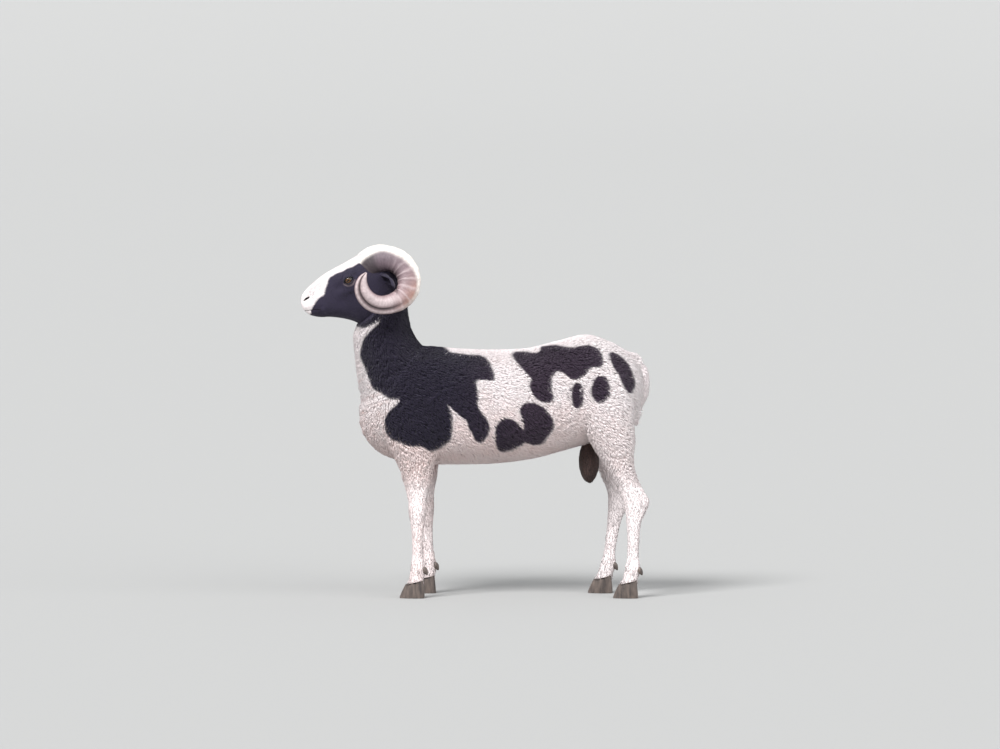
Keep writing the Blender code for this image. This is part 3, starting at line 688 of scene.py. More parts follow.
mouth_cut = bmesh.new()
bmesh.ops.create_grid(mouth_cut, x_segments=20, y_segments=2, size=0.5)
bmesh.ops.scale(mouth_cut, verts=mouth_cut.verts, vec=MOUTH_SIZE)
for vert in mouth_cut.verts:
    vert.co.z = MOUTH_SIZE[2] / 2 - mouth_fall(vert.co.x)
lower = bmesh.ops.extrude_face_region(mouth_cut, geom=mouth_cut.faces[:])["geom"]
lower = [part for part in lower if isinstance(part, bmesh.types.BMVert)]
bmesh.ops.translate(mouth_cut, verts=lower, vec=(0, 0, -MOUTH_SIZE[2]))
bmesh.ops.recalc_face_normals(mouth_cut, faces=mouth_cut.faces)
mouth_place = Matrix.Translation(MOUTH) @ Matrix.Rotation(MOUTH_TILT, 4, "Y")
bmesh.ops.transform(mouth_cut, matrix=mouth_place, verts=mouth_cut.verts)
boolean(head, "DIFFERENCE", [
    mouth_cut,
    *[ball(EYE_RADIUS + EYE_ROOM, eye_place(side), 48, 32) for side in (-1, 1)],
    *[almond(side) for side in (-1, 1)],
    *[cut for side in (-1, 1) for cut in nostril_cuts(side)],
])
head.data.transform(head_place)


# One skin for the whole animal
# The head is joined to the body, so that no seam shows between them. The one skin stands for all
# the nodes of flesh. What grows on it is worked out for each of its points.
FINGERPRINT = 1e5


def per_point(thing, measure):
    """The places, co, or the directions, normal, of all the object's points."""
    flat = np.empty(len(thing.data.vertices) * 3)
    thing.data.vertices.foreach_get(measure, flat)
    return flat.reshape(-1, 3)


def fingerprints(thing):
    """Each point's place in hundredths of a millimetre, to know it again after a join."""
    return [tuple(key) for key in np.round(per_point(thing, "co") * FINGERPRINT).astype(int).tolist()]


def moved(points, matrix):
    """The points as the matrix moves them."""
    return (np.hstack([points, np.ones((len(points), 1))]) @ np.array(matrix).T)[:, :3]


head_marks = set(fingerprints(head))
head_again = bmesh.new()
head_again.from_mesh(head.data)
boolean(body, "UNION", [head_again])
bpy.data.objects.remove(head)
skin = body
skin.name = "skin"
skin.data.polygons.foreach_set("use_smooth", [True] * len(skin.data.polygons))

spots = per_point(skin, "co")
normals = per_point(skin, "normal")
spot_x, spot_y, spot_z = spots.T
on_head = np.array([mark in head_marks for mark in fingerprints(skin)])
in_head = moved(spots, head_place.inverted())


# How the coat grows
# Wool covers trunk, neck and the tops of the legs and thins out over a hand's width. Everywhere
# it lies back and down, with soft swirls. Hair on the head and shanks is short and sleek.
WOOL_WAY = np.array((1.0, 0.0, -0.62))
HANGING_WAY = np.array((0.20, 0.0, -1.0))
SWIRL = 0.22
SWIRL_SIZE = 0.07
SWIRL_SEEDS = (3.0, 6.0, 8.0)

# Distances to the head are found only before this x and above this z, and to every fourth of
# its points
HEAD_SIDE = -0.10
HEAD_ABOVE = 0.68
HEAD_STEP = 4

# The skin round the pouch that counts as its own, and the skin that counts as the tail's
POUCH_ROOM = 1.25
POUCH_EDGE = -0.02
TAIL_FRONT = 0.446
TAIL_HALF = 0.030
TAIL_TOP = 0.655

# Where the wool starts behind the head, and where it comes to hang on neck, breast and legs: the
# start of each change and the length it takes
COLLAR = (0.002, 0.030)
HANGS_ON_NECK = (0.62, 0.10)
HANGS_ON_BREAST = (-0.17, 0.10)
HANGS_ON_LEG = (0.44, 0.08)
BREAST_HANG = 0.8
MIDLINE = 0.02


def unit(v):
    """The directions at length one."""
    return v / np.maximum(np.linalg.norm(v, axis=-1, keepdims=True), 1e-9)


def along_surface(way, normal):
    """The part of a direction that lies in the surface."""
    return unit(way - (way * normal).sum(axis=1, keepdims=True) * normal)


def rough_noise(points, size, seed=0.0):
    """Smooth noise from -1 to 1 with lumps of this size."""
    shift = Vector((seed, seed * 1.7, -seed))
    return np.array([noise.noise(Vector(p) / size + shift) for p in points])


def mixed(a, b, share):
    """Rows of a turned into b by each row's own share."""
    return a + (b - a) * share[:, None]


def tree_of(points):
    """A search tree over the points."""
    found = KDTree(len(points))
    for k, p in enumerate(points):
        found.insert(p, k)
    found.balance()
    return found


def rising(x, change):
    """From 0 to 1 as x passes through a change, given as its start and its length."""
    return smoothstep((x - change[0]) / change[1])


def sinking(x, change):
    """From 0 to 1 as x sinks through a change, given as its start and its length."""
    return smoothstep((change[0] - x) / change[1])


pouch_by = 1 - np.linalg.norm((spots - np.array(POUCH)) / (np.array(POUCH_SIZE) * POUCH_ROOM), axis=1)
head_tree = tree_of(spots[on_head][::HEAD_STEP])
from_head = np.array([
    head_tree.find(p)[2] if p[0] < HEAD_SIDE and p[2] > HEAD_ABOVE else 1.0 for p in spots
])
on_pouch = (pouch_by > POUCH_EDGE) & ~on_head
on_tail = (spot_x > TAIL_FRONT) & (np.abs(spot_y) < TAIL_HALF) & (spot_z < TAIL_TOP)
wool = rising(spot_z, (WOOL_LINE, WOOL_EASE)) * rising(from_head, COLLAR)
wool[on_head | on_pouch] = 0.0

to_neck = rising(spot_z, HANGS_ON_NECK) * (spot_x < HEAD_SIDE)
to_breast = sinking(spot_x, HANGS_ON_BREAST) * (1 - to_neck)
to_leg = sinking(spot_z, HANGS_ON_LEG)
hangs = np.clip(to_neck + BREAST_HANG * to_breast + to_leg * (np.abs(spot_y) > MIDLINE), 0, 1)
hangs[on_tail | on_pouch] = 1.0
ways = mixed(np.tile(WOOL_WAY, (len(spots), 1)), HANGING_WAY, hangs)
ways += SWIRL * np.stack([rough_noise(spots, SWIRL_SIZE, seed) for seed in SWIRL_SEEDS], axis=1)
ways = along_surface(ways, normals)


# The markings
# Black patches on white, with clear edges, as closed outlines in the side view: x, and height less
# the slope of the view times how far out the point is. The right side has patches of its own.
VIEW_SLOPE = math.tan(CAMERA_RISE)
WOOL_RUN = 0.010
WOOL_RISE = 0.8
THROAT = (
    (-0.352, 0.800), (-0.350, 0.765), (-0.333, 0.748), (-0.314, 0.735), (-0.292, 0.743),
    (-0.262, 0.760), (-0.262, 0.800),
)
SADDLE = (
    (-0.262, 0.753), (-0.275, 0.741), (-0.289, 0.727), (-0.307, 0.705), (-0.315, 0.679),
    (-0.318, 0.655), (-0.307, 0.632), (-0.293, 0.599), (-0.282, 0.572), (-0.254, 0.553),
    (-0.230, 0.539), (-0.208, 0.539), (-0.219, 0.525), (-0.241, 0.503), (-0.249, 0.470),
    (-0.241, 0.443), (-0.221, 0.426), (-0.180, 0.412), (-0.153, 0.412), (-0.131, 0.401),
    (-0.120, 0.396), (-0.103, 0.404), (-0.081, 0.418), (-0.067, 0.437), (-0.062, 0.470),
    (-0.065, 0.506), (-0.076, 0.525), (-0.056, 0.506), (-0.037, 0.492), (-0.026, 0.484),
    (-0.015, 0.456), (0.004, 0.426), (0.023, 0.426), (0.037, 0.451), (0.034, 0.478),
    (0.010, 0.517), (0.007, 0.553), (0.007, 0.594), (0.045, 0.591), (0.051, 0.599),
    (0.043, 0.635), (0.029, 0.654), (0.007, 0.663), (-0.029, 0.665), (-0.056, 0.671),
    (-0.076, 0.679), (-0.100, 0.720), (-0.100, 0.950), (-0.262, 0.950), (-0.258, 0.800),
)
LOIN = (
    (0.100, 0.663), (0.122, 0.674), (0.169, 0.671), (0.183, 0.688), (0.221, 0.690),
    (0.260, 0.685), (0.293, 0.690), (0.320, 0.688), (0.340, 0.676), (0.351, 0.643),
    (0.342, 0.630), (0.315, 0.627), (0.296, 0.605), (0.271, 0.594), (0.249, 0.605),
    (0.227, 0.619), (0.210, 0.597), (0.210, 0.567), (0.213, 0.544), (0.199, 0.531),
    (0.177, 0.536), (0.155, 0.555), (0.147, 0.580), (0.153, 0.597), (0.128, 0.624),
)
RUMP = (
    (0.367, 0.671), (0.389, 0.668), (0.411, 0.648), (0.429, 0.619), (0.438, 0.588),
    (0.430, 0.559), (0.415, 0.561), (0.400, 0.590), (0.388, 0.618), (0.371, 0.646),
)
FLANK = (
    (0.122, 0.509), (0.131, 0.525), (0.153, 0.531), (0.177, 0.525), (0.194, 0.511),
    (0.213, 0.484), (0.210, 0.456), (0.197, 0.437), (0.177, 0.415), (0.122, 0.429),
    (0.133, 0.470),
)
BELLY = (
    (0.054, 0.456), (0.062, 0.476), (0.081, 0.487), (0.103, 0.484), (0.122, 0.467),
    (0.136, 0.421), (0.081, 0.396), (0.062, 0.401), (0.054, 0.429),
)


def oval(x, z, half_long, half_high, points=12):
    turns = [2 * math.pi * k / points for k in range(points)]
    return tuple((x + half_long * math.cos(a), z + half_high * math.sin(a)) for a in turns)


def smooth_outline(points, steps=4):
    """A closed outline with rounded corners."""
    closed = [points[-1], *points, points[0], points[1]]
    return eased(closed, (len(closed) - 1) * steps + 1)[steps:-steps - 1]


def inside_by(outline, x, z):
    """How far inside a closed outline each point lies. Outside it is negative."""
    ring = smooth_outline(outline)
    nearest = np.ones(len(x))
    inside = np.zeros(len(x), bool)
    for (ax, az), (bx, bz) in zip(ring, np.roll(ring, -1, axis=0)):
        dx, dz = bx - ax, bz - az
        share = np.clip(((x - ax) * dx + (z - az) * dz) / (dx * dx + dz * dz + 1e-12), 0, 1)
        nearest = np.minimum(nearest, np.hypot(x - ax - share * dx, z - az - share * dz))
        crosses = ((az > z) != (bz > z)) & (x < dx * (z - az) / (bz - az + 1e-12) + ax)
        inside ^= crosses
    return np.where(inside, nearest, -nearest)


PATCHES_LEFT = (
    THROAT, SADDLE, LOIN, RUMP, FLANK, BELLY,
    oval(0.279, 0.550, 0.0165, 0.036), oval(0.342, 0.567, 0.027, 0.038),
)
PATCHES_RIGHT = (
    THROAT,
    SADDLE,
    tuple((0.40 - 0.95 * (x - 0.10), z - 0.014 - 0.10 * (x - 0.22)) for x, z in LOIN)[::-1],
    tuple((x - 0.02, z - 0.05) for x, z in BELLY),
    oval(0.125, 0.525, 0.030, 0.050),
    oval(0.205, 0.500, 0.024, 0.030),
    oval(0.395, 0.590, 0.026, 0.042),
)

# The white blaze on the face, above this line in the head's own side view: x, z
BLAZE_EDGE = (
    (-0.040, 0.060), (0.040, 0.044), (0.048, 0.040), (0.070, 0.036), (0.095, 0.034),
    (0.125, 0.031), (0.142, 0.030), (0.159, 0.026), (0.181, 0.001), (0.189, -0.0125),
    (0.200, -0.015), (0.211, -0.018), (0.228, -0.030), (0.237, -0.040), (0.243, -0.060),
)

# Half the width of a patch's edge in wool and on the face, and how the edges wander: the reach,
# the size and the seed of each wave. The ears, behind this x and outside this y, are all black.
EDGE_SOFTNESS = 0.0022
FACE_EDGE_SOFTNESS = 0.0016
EDGE_WAVES = ((0.0030, 0.030, 0.0), (0.0012, 0.010, 5.0))
FACE_WAVE = (0.0016, 0.014)
BLAZE_SLOPE = 0.8
EARS_BEHIND = 0.060
EARS_OUTSIDE = 0.062

# The colours. Black wool fades a little towards the rump
BLACK_WOOL = np.array((0.023, 0.0185, 0.037))
FADED_WOOL = np.array((0.047, 0.030, 0.051))
WHITE_WOOL = np.array((0.97, 0.895, 0.90))
PINK_SHADED_WOOL = np.array((0.90, 0.68, 0.64))
POUCH_SHADE = np.array((0.075, 0.045, 0.040))
DARK_SKIN_AND_SHADE = np.array((0.022, 0.014, 0.015))
LID_PALE = np.array((0.20, 0.155, 0.17))
FADES = (-0.09, 0.24)
GROIN_SHADE_REACH = 0.12
HAIR_DARKER = 0.12

# White wool is pinker and darker low down, partly the pink of the skin showing through and partly
# painted shade, least so on the shanks and haunches. The creases in the folds of the breast get
# painted shade, and random waves of dirt tint the wool. The creases are broken up: middle,
# strength, size and seed
PINK_SHADE_BELOW = (0.60, 0.22)
PINK_SHADE_LOW = 0.25
PINK_SHADE_MIDDLE = 0.32
PINK_SHADE_ABOVE = (0.26, 0.14)
DIRT_WAVES = ((0.16, 0.045, 9.0), (0.08, 0.014, 2.0))
CREASE_STRAYS = (0.010, 0.07)
CREASE_WIDTH = 0.26
CREASE_BREAKS = (0.4, 1.2, 0.045, 4.0)
CREASE_SHADE = 0.9
PALER_HAUNCH = (0.27, 0.08)
PALER_SHARE = 0.65
HEAD_WARMTH = 0.05

# The dark rims of nostril and eye, painted shade along the slit of the mouth, and the pale line under the
# lids
NOSTRIL_RIM = (1.35, 0.30)
LID_RIM = 0.75
LID_RIM_EASE = 0.0008
MOUTH_SHADE_SPAN = (0.52, 0.52, 0.56)
MOUTH_SHADE = 0.8
LID_LINE_AWAY = 0.0042
LID_LINE_WIDTH = 0.0016
LID_LINE_DEPTH = 0.006
LID_LINE_START = 0.2
LID_LINE_STRENGTH = 0.75

wander = sum(reach * rough_noise(spots, size, seed) for reach, size, seed in EDGE_WAVES)
tips = spots + (ways * WOOL_RUN + normals * WOOL_DEPTH * WOOL_RISE) * wool[:, None]


def marked_by(points):
    """How far inside the patches each place lies."""
    picture_z = points[:, 2] - VIEW_SLOPE * np.abs(points[:, 1])
    left = points[:, 1] < 0
    depth = np.full(len(points), -1.0)
    for patches, here in ((PATCHES_LEFT, left), (PATCHES_RIGHT, ~left)):
        depths = [inside_by(patch, points[here, 0], picture_z[here]) for patch in patches]
        depth[here] = np.max(depths, axis=0)
    return depth


blaze = np.interp(in_head[:, 0], *np.array(BLAZE_EDGE).T)
face_wander = FACE_WAVE[0] * rough_noise(in_head, FACE_WAVE[1])
above_blaze = (blaze - in_head[:, 2] + face_wander) * BLAZE_SLOPE
on_ear = on_head & (in_head[:, 0] < EARS_BEHIND) & (np.abs(in_head[:, 1]) > EARS_OUTSIDE)
black_by = np.where(on_head, above_blaze, marked_by(tips) + wander)
black_by = np.where(on_ear, 1.0, black_by)
softness = np.where(on_head, FACE_EDGE_SOFTNESS, EDGE_SOFTNESS)
black = smoothstep(0.5 + black_by / (2 * softness))

# Painted shade low down on the white wool, mixed with the skin's own pink, and less of it on the haunches
pink_shade_and_dirt = sinking(spot_z, PINK_SHADE_BELOW) * (PINK_SHADE_LOW + PINK_SHADE_MIDDLE * rising(spot_z, PINK_SHADE_ABOVE))
for reach, size, seed in DIRT_WAVES:
    pink_shade_and_dirt = pink_shade_and_dirt + reach * rough_noise(spots, size, seed)
pink_shade_and_dirt = np.clip(pink_shade_and_dirt, 0, 1) * (1 - PALER_SHARE * rising(spot_x, PALER_HAUNCH))
from_folds = tips - np.array(FOLD_MIDDLE)
in_folds = np.clip(1 - ((from_folds / np.array(FOLD_REACH)) ** 2).sum(axis=1), 0, 1)
fold_turn = from_folds @ np.array(FOLD_WAY) + CREASE_STRAYS[0] * rough_noise(spots, CREASE_STRAYS[1])
creases = np.exp(-((np.sin(math.pi * fold_turn / FOLD_APART) / CREASE_WIDTH) ** 2)) * np.sqrt(in_folds)
middle, strength, size, seed = CREASE_BREAKS
creases *= smoothstep(middle + rough_noise(spots, size, seed) * strength)
pink_shade_and_dirt = np.where(on_head, HEAD_WARMTH, np.clip(pink_shade_and_dirt + CREASE_SHADE * creases, 0, 1))
dark_colour = mixed(BLACK_WOOL, FADED_WOOL, rising(spot_x, FADES))
light_colour = mixed(WHITE_WOOL, PINK_SHADED_WOOL, pink_shade_and_dirt)
colours = light_colour + (dark_colour - light_colour) * black[:, None]
# Painted shade: the pouch and the white wool round it, under the belly between the thighs, turn dark brown
colours = mixed(colours, POUCH_SHADE, smoothstep(pouch_by / GROIN_SHADE_REACH) * (1 - black))

rims_and_mouth_shade = np.zeros(len(spots))
for side in (-1, 1):
    in_hole = moved(in_head, nostril_place(side).inverted())
    to_hole = np.linalg.norm(in_hole / NOSTRIL_SIZE, axis=1)
    to_eye = np.linalg.norm(in_head - np.array(EYE) * (1, side, 1), axis=1)
    rims_and_mouth_shade = np.maximum(rims_and_mouth_shade, sinking(to_hole, NOSTRIL_RIM))
    rims_and_mouth_shade = np.maximum(rims_and_mouth_shade, sinking(to_eye, (EYE_RADIUS + LID_THICKNESS * LID_RIM, LID_RIM_EASE)))
in_mouth = (in_head - np.array(MOUTH)) @ np.array(mouth_place.to_3x3())
in_mouth[:, 2] += mouth_fall(in_mouth[:, 0])
in_mouth = np.abs(in_mouth)
# Painted shade: the slit between the lips is darkened where the mouth's own shade falls
mouth_slit_shade = (in_mouth < np.array(MOUTH_SIZE) * MOUTH_SHADE_SPAN).all(axis=1)
rims_and_mouth_shade = np.maximum(rims_and_mouth_shade, mouth_slit_shade * MOUTH_SHADE)
for side in (-1, 1):
    to_lid = np.array(EYE) * (1, side, 1) - in_head
    off_line = np.linalg.norm(to_lid, axis=1) - EYE_RADIUS - LID_LINE_AWAY
    under = smoothstep(to_lid[:, 2] / LID_LINE_DEPTH - LID_LINE_START)
    line = np.exp(-((off_line / LID_LINE_WIDTH) ** 2)) * under
    colours = mixed(colours, LID_PALE, LID_LINE_STRENGTH * line * on_head)
# Dark bare skin round nostrils and eyes, and the painted shade of the mouth's slit
colours = mixed(colours, DARK_SKIN_AND_SHADE, rims_and_mouth_shade * on_head)
colours *= (1 - HAIR_DARKER * (1 - wool) * (1 - black))[:, None]
tint = skin.data.attributes.new("Coat", "FLOAT_COLOR", "POINT")
tint.data.foreach_set("color", np.hstack([colours, np.ones((len(colours), 1))]).ravel())


# What shows of the skin
# Short sleek hair on the face and shanks, so close that it is mostly a fine grain in the surface,
# drawn out along the hairs. The skin below the wool has the same finish.
GRAIN_STRETCH = (0.5, 1.0, 0.22)


def toned(tree, colour, pattern, **limits):
    """The node's colour made darker and lighter by a pattern between the limits of a map range."""
    shade = add_node(tree, "MapRange", **limits)
    dim = add_node(tree, "MixRGB", blend_type="MULTIPLY", Fac=1.0)
    tree.links.new(pattern, shade.inputs["Value"])
    link(tree, (colour, "Color", dim, "Color1"), (shade, "Result", dim, "Color2"))
    return dim


skin_look, tree, shader = new_material(
    "short_hair", 0.72, Sheen_Weight=0.08, Sheen_Roughness=0.45, Specular_IOR_Level=0.2
)
coat = add_node(tree, "Attribute", attribute_name="Coat")
place = add_node(tree, "TexCoord")
stretch = add_node(tree, "Mapping", Scale=GRAIN_STRETCH)
grain = add_node(tree, "TexNoise", Scale=650.0, Detail=4.0, Roughness=0.6)
patchy = add_node(tree, "TexNoise", Scale=70.0, Detail=3.0)
bump = add_node(tree, "Bump", Strength=0.35, Distance=0.0006)
link(
    tree, (place, "Object", stretch, "Vector"), (stretch, "Vector", grain, "Vector"),
    (place, "Object", patchy, "Vector"), (grain, "Fac", bump, "Height"), (bump, "Normal", shader, "Normal"),
    (toned(tree, coat, patchy.outputs["Fac"], To_Min=0.92, To_Max=1.10), "Color", shader, "Base Color"),
)
skin.data.materials.clear()
skin.data.materials.append(skin_look)


def settle(piece, slot, *nodes):
    """Moves a finished piece over the middle of the frame, hangs it on the root body and hides the parts it
    stands for.
    """
    piece.data.transform(Matrix.Translation(TO_MIDDLE))
    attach(piece, "root")
    if nodes:
        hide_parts(*nodes)


# The fleece
# Short summer wool in small flat staples, each a bundle of fibres with a pointed tip. They lie
# back and down, overlap like shingles and lean together in loose clumps.
WOOL_SEED = 7
WOOL_LOCKS = 32000
WOOL_LAYERS = 2
WOOL_EDGE = 0.03
WOOL_SPARSEST = 0.65
WOOL_LENGTH = 0.0188
WOOL_SHORTEST = 0.30
WOOL_ON_TAIL = 0.60
WOOL_BETWEEN_CLUMPS = 0.93
WOOL_UNEVEN = (-0.04, 0.04)
WOOL_BENDS = (0.90, 1.10)
WOOL_SHADES = (0.96, 1.05)
WOOL_WIDTH = 0.0018
WOOL_NARROWEST = 0.7
WOOL_THIN = 0.46
WOOL_BEND = math.radians(76)
WOOL_LEAN = 0.25
WOOL_SUNK = 0.0012
WOOL_SWAY = 0.06
WOOL_CRIMP = 0.030
CRIMPS = 1.6
STRAYING = 0.16
CLUMP_COUNT = 3200
CLUMP_PULL = 0.10
CLUMP_REACH = 0.014
CLUMP_FULLNESS = 0.08
ROOT_SHADE = 0.93
TIP_SHADE = 0.11
PIECE_TRIANGLES = 190000
BAKE_PATCH = 0.003
STRAND_SHIFT = 97
FIBRE_STRETCH = (9.0, 1.2, 1.0)

# Widths along a lock from root to tip
WOOL_TAPER = (0.80, 1.0, 0.70)
HAIR_TAPER = (0.75, 0.9)


def lock_form(taper, sides=3):
    """A pointed prism one unit long up Z: its corners, and its faces as rows of corner numbers."""
    mesh = bmesh.new()
    bmesh.ops.create_circle(mesh, cap_ends=True, segments=sides, radius=taper[0])
    mesh.faces.ensure_lookup_table()
    face = mesh.faces[0]
    for level, width in enumerate([*taper[1:], 0.0], 1):
        face = bmesh.ops.extrude_discrete_faces(mesh, faces=[face])["faces"][0]
        middle = face.calc_center_median()
        for vert in face.verts:
            across = (vert.co - middle).normalized()
            vert.co = across * max(width, 1e-4) + Vector((0, 0, level / len(taper)))
    bmesh.ops.remove_doubles(mesh, verts=mesh.verts, dist=1e-3)
    bmesh.ops.holes_fill(mesh, edges=[e for e in mesh.edges if e.is_boundary])
    bmesh.ops.recalc_face_normals(mesh, faces=mesh.faces)
    mesh.verts.index_update()
    corners = np.array([v.co[:] for v in mesh.verts])
    faces = [[v.index for v in f.verts] for f in mesh.faces]
    mesh.free()
    return corners, faces


# Places on an unwrap of the skin's own shape: each part is rolled out flat in its own rectangle
ISLANDS = {
    "trunk": (0.01, 0.40, 0.60, 0.58),
    "neck": (0.50, 0.01, 0.44, 0.37),
    "head": (0.01, 0.01, 0.47, 0.37),
    "tail": (0.95, 0.01, 0.04, 0.37),
    "fore_left": (0.62, 0.40, 0.085, 0.58),
    "fore_right": (0.715, 0.40, 0.085, 0.58),
    "hind_left": (0.81, 0.40, 0.085, 0.58),
    "hind_right": (0.905, 0.40, 0.085, 0.58),
}


def unwrapped(points):
    """Where each point falls when the parts of the skin are rolled out flat. Each part is a turn
    about its axis and a share of its length."""
    x, y, z = points.T
    hx, hy, hz = moved(points, head_place.inverted()).T
    whole = {
        "trunk": (np.arctan2(y, z - 0.53), (x + 0.34) / 0.80),
        "neck": (np.arctan2(y, x + 0.24), (z - 0.60) / 0.34),
        "head": (np.arctan2(hy, hz + 0.04), (hx + 0.05) / 0.31),
        "tail": (np.arctan2(y, x - 0.457), (z - 0.43) / 0.25),
        "fore_left": (np.arctan2(y + 0.086, x + 0.16), z / 0.5),
        "fore_right": (np.arctan2(y - 0.086, x + 0.14), z / 0.5),
        "hind_left": (np.arctan2(y + 0.086, x - 0.42), z / 0.5),
        "hind_right": (np.arctan2(y - 0.086, x - 0.37), z / 0.5),
    }
    near_head = (hx > -0.06) & (hz > -0.15) & (z > 0.78)
    chosen = {
        "head": near_head,
        "neck": ~near_head & (z > 0.62) & (x < -0.13),
        "tail": (x > 0.449) & (np.abs(y) < 0.03) & (z < 0.66),
        "fore_left": (z < 0.42) & (x < 0) & (y < 0),
        "fore_right": (z < 0.42) & (x < 0) & (y >= 0),
        "hind_left": (z < 0.46) & (x > 0.24) & (y < 0) & (x < 0.49),
        "hind_right": (z < 0.46) & (x > 0.20) & (y >= 0) & (x < 0.49),
    }
    flat = np.zeros((len(points), 2))
    taken = np.zeros(len(points), bool)
    for name, mask in [*chosen.items(), ("trunk", np.ones(len(points), bool))]:
        here = mask & ~taken
        taken |= mask
        turn, reach = whole[name]
        u0, v0, wide, high = ISLANDS[name]
        flat[here, 0] = u0 + wide * (turn[here] / (2 * math.pi) + 0.5)
        flat[here, 1] = v0 + high * np.clip(reach[here], 0, 1)
    return flat


def bent(lean, bend, t):
    """How high and how far along a lock has come at t, in lengths of the lock."""
    turn = bend * t + lean
    return (np.sin(turn) - np.sin(lean)) / bend, (np.cos(lean) - np.cos(turn)) / bend


def grown(name, form, look, slot, roots, up, way, **sizes):
    """Pointed locks on their roots, in pieces. Each rises from the skin and bends over along its
    way, has its colour as a whole or by levels, and one small patch of the unwrap for bakes."""
    corners, faces = form
    count, points = len(roots), len(corners)
    t = corners[:, 2][None, :, None]
    bend = sizes["bend"][:, None, None]
    length = sizes["length"][:, None, None]
    width = sizes["width"][:, None, None]
    up, way, across = (v[:, None, :] for v in (up, way, np.cross(up, way)))
    first = sizes["lean"][:, None, None]
    turn = bend * t + first
    rise, run = bent(first, bend, t)
    sway = sizes["sway"][:, None, None] * t**2
    crimp = sizes["crimp"] * t * np.sin(2 * math.pi * (CRIMPS * t + sizes["phase"][:, None, None]))
    place = roots[:, None, :] + length * (up * rise + way * run + across * (sway + crimp))
    thick = way * np.cos(turn) - up * np.sin(turn)
    place = place + width * (
        across * corners[None, :, :1] + thick * corners[None, :, 1:2] * sizes["thin"]
    )
    place = place + sizes["pull"][:, None, :] * t**1.5 - up * sizes["sunk"]
    shade = (ROOT_SHADE + TIP_SHADE * t) * sizes["shade"][:, None, None]
    colour = sizes["colour"]
    if colour.ndim == 3:
        colour = colour[:, np.rint(corners[:, 2] * (colour.shape[1] - 1)).astype(int)]
    else:
        colour = colour[:, None, :]
    tints = np.clip(colour * shade, 0, 1)
    spots_uv = unwrapped(roots)
    triangles = sum(len(f) - 2 for f in faces)
    total = math.ceil(count / (PIECE_TRIANGLES // triangles))
    order = np.argsort(roots[:, 0], kind="stable")
    flat_faces = np.array([c for f in faces for c in f])
    starts = np.cumsum([0] + [len(f) for f in faces[:-1]])
    angle = np.arctan2(corners[:, 1], corners[:, 0]) / (2 * math.pi) + 0.5
    patch = np.stack([angle, corners[:, 2]], axis=1)[flat_faces]
    for number, picked in enumerate(np.array_split(order, total), 1):
        locks = len(picked)
        data = bpy.data.meshes.new(name)
        data.vertices.add(locks * points)
        data.vertices.foreach_set("co", place[picked].reshape(-1))
        index = (np.arange(locks)[:, None] * points + flat_faces[None, :]).reshape(-1)
        data.loops.add(len(index))
        data.loops.foreach_set("vertex_index", index.astype(np.int32))
        data.polygons.add(locks * len(faces))
        begin = (np.arange(locks)[:, None] * len(flat_faces) + starts[None, :]).reshape(-1)
        data.polygons.foreach_set("loop_start", begin.astype(np.int32))
        data.update(calc_edges=True)
        data.polygons.foreach_set("use_smooth", [True] * len(data.polygons))
        colour_layer = data.attributes.new("Coat", "FLOAT_COLOR", "POINT")
        painted = np.ones((locks, points, 4))
        painted[:, :, :3] = tints[picked]
        colour_layer.data.foreach_set("color", painted.reshape(-1))
        middles = spots_uv[picked][:, None, :]
        baked = middles + (patch[None] - 0.5) * BAKE_PATCH
        data.uv_layers.new(name="OFBake").data.foreach_set("uv", baked.reshape(-1))
        strand = patch[None] + middles * STRAND_SHIFT
        data.uv_layers.new(name="Strand").data.foreach_set("uv", strand.reshape(-1))
        piece_name = name if total == 1 else f"{name}_{number}"
        piece = bpy.data.objects.new(piece_name, data)
        bpy.context.scene.collection.objects.link(piece)
        data.materials.append(look)
        settle(piece, slot)


def fibre_look(name, roughness, sheen):
    """Wool or hair: the coat's own colour, finely streaked along each lock, with a fibrous surface."""
    look, tree, shader = new_material(
        name, roughness, Sheen_Weight=sheen, Sheen_Roughness=0.5, Specular_IOR_Level=0.15
    )
    coat = add_node(tree, "Attribute", attribute_name="Coat")
    strand = add_node(tree, "UVMap", uv_map="Strand")
    stretch = add_node(tree, "Mapping", Scale=FIBRE_STRETCH)
    fibres = add_node(tree, "TexNoise", Scale=2.0, Detail=3.0, Roughness=0.65)
    bump = add_node(tree, "Bump", Strength=0.4, Distance=0.0005)
    link(
        tree, (strand, "UV", stretch, "Vector"), (stretch, "Vector", fibres, "Vector"),
        (fibres, "Fac", bump, "Height"), (bump, "Normal", shader, "Normal"),
        (toned(tree, coat, fibres.outputs["Fac"], To_Min=0.88, To_Max=1.10), "Color", shader, "Base Color"),
    )
    return look


def strewn(picked, grain, growth):
    """Roots scattered by up to half a grain about the picked points, with each one's outward
    direction, the way it grows and the direction across that."""
    jitter = draw.uniform(-0.5, 0.5, (len(picked), 2, 1)) * grain
    up, way = normals[picked], growth[picked]
    across = np.cross(up, way)
    return spots[picked] + way * jitter[:, 0] + across * jitter[:, 1], up, way, across


def strayed(way, across):
    """The ways, each turned a little at random."""
    turned = draw.normal(0, STRAYING, len(way))[:, None]
    return unit(way * np.cos(turned) + across * np.sin(turned))


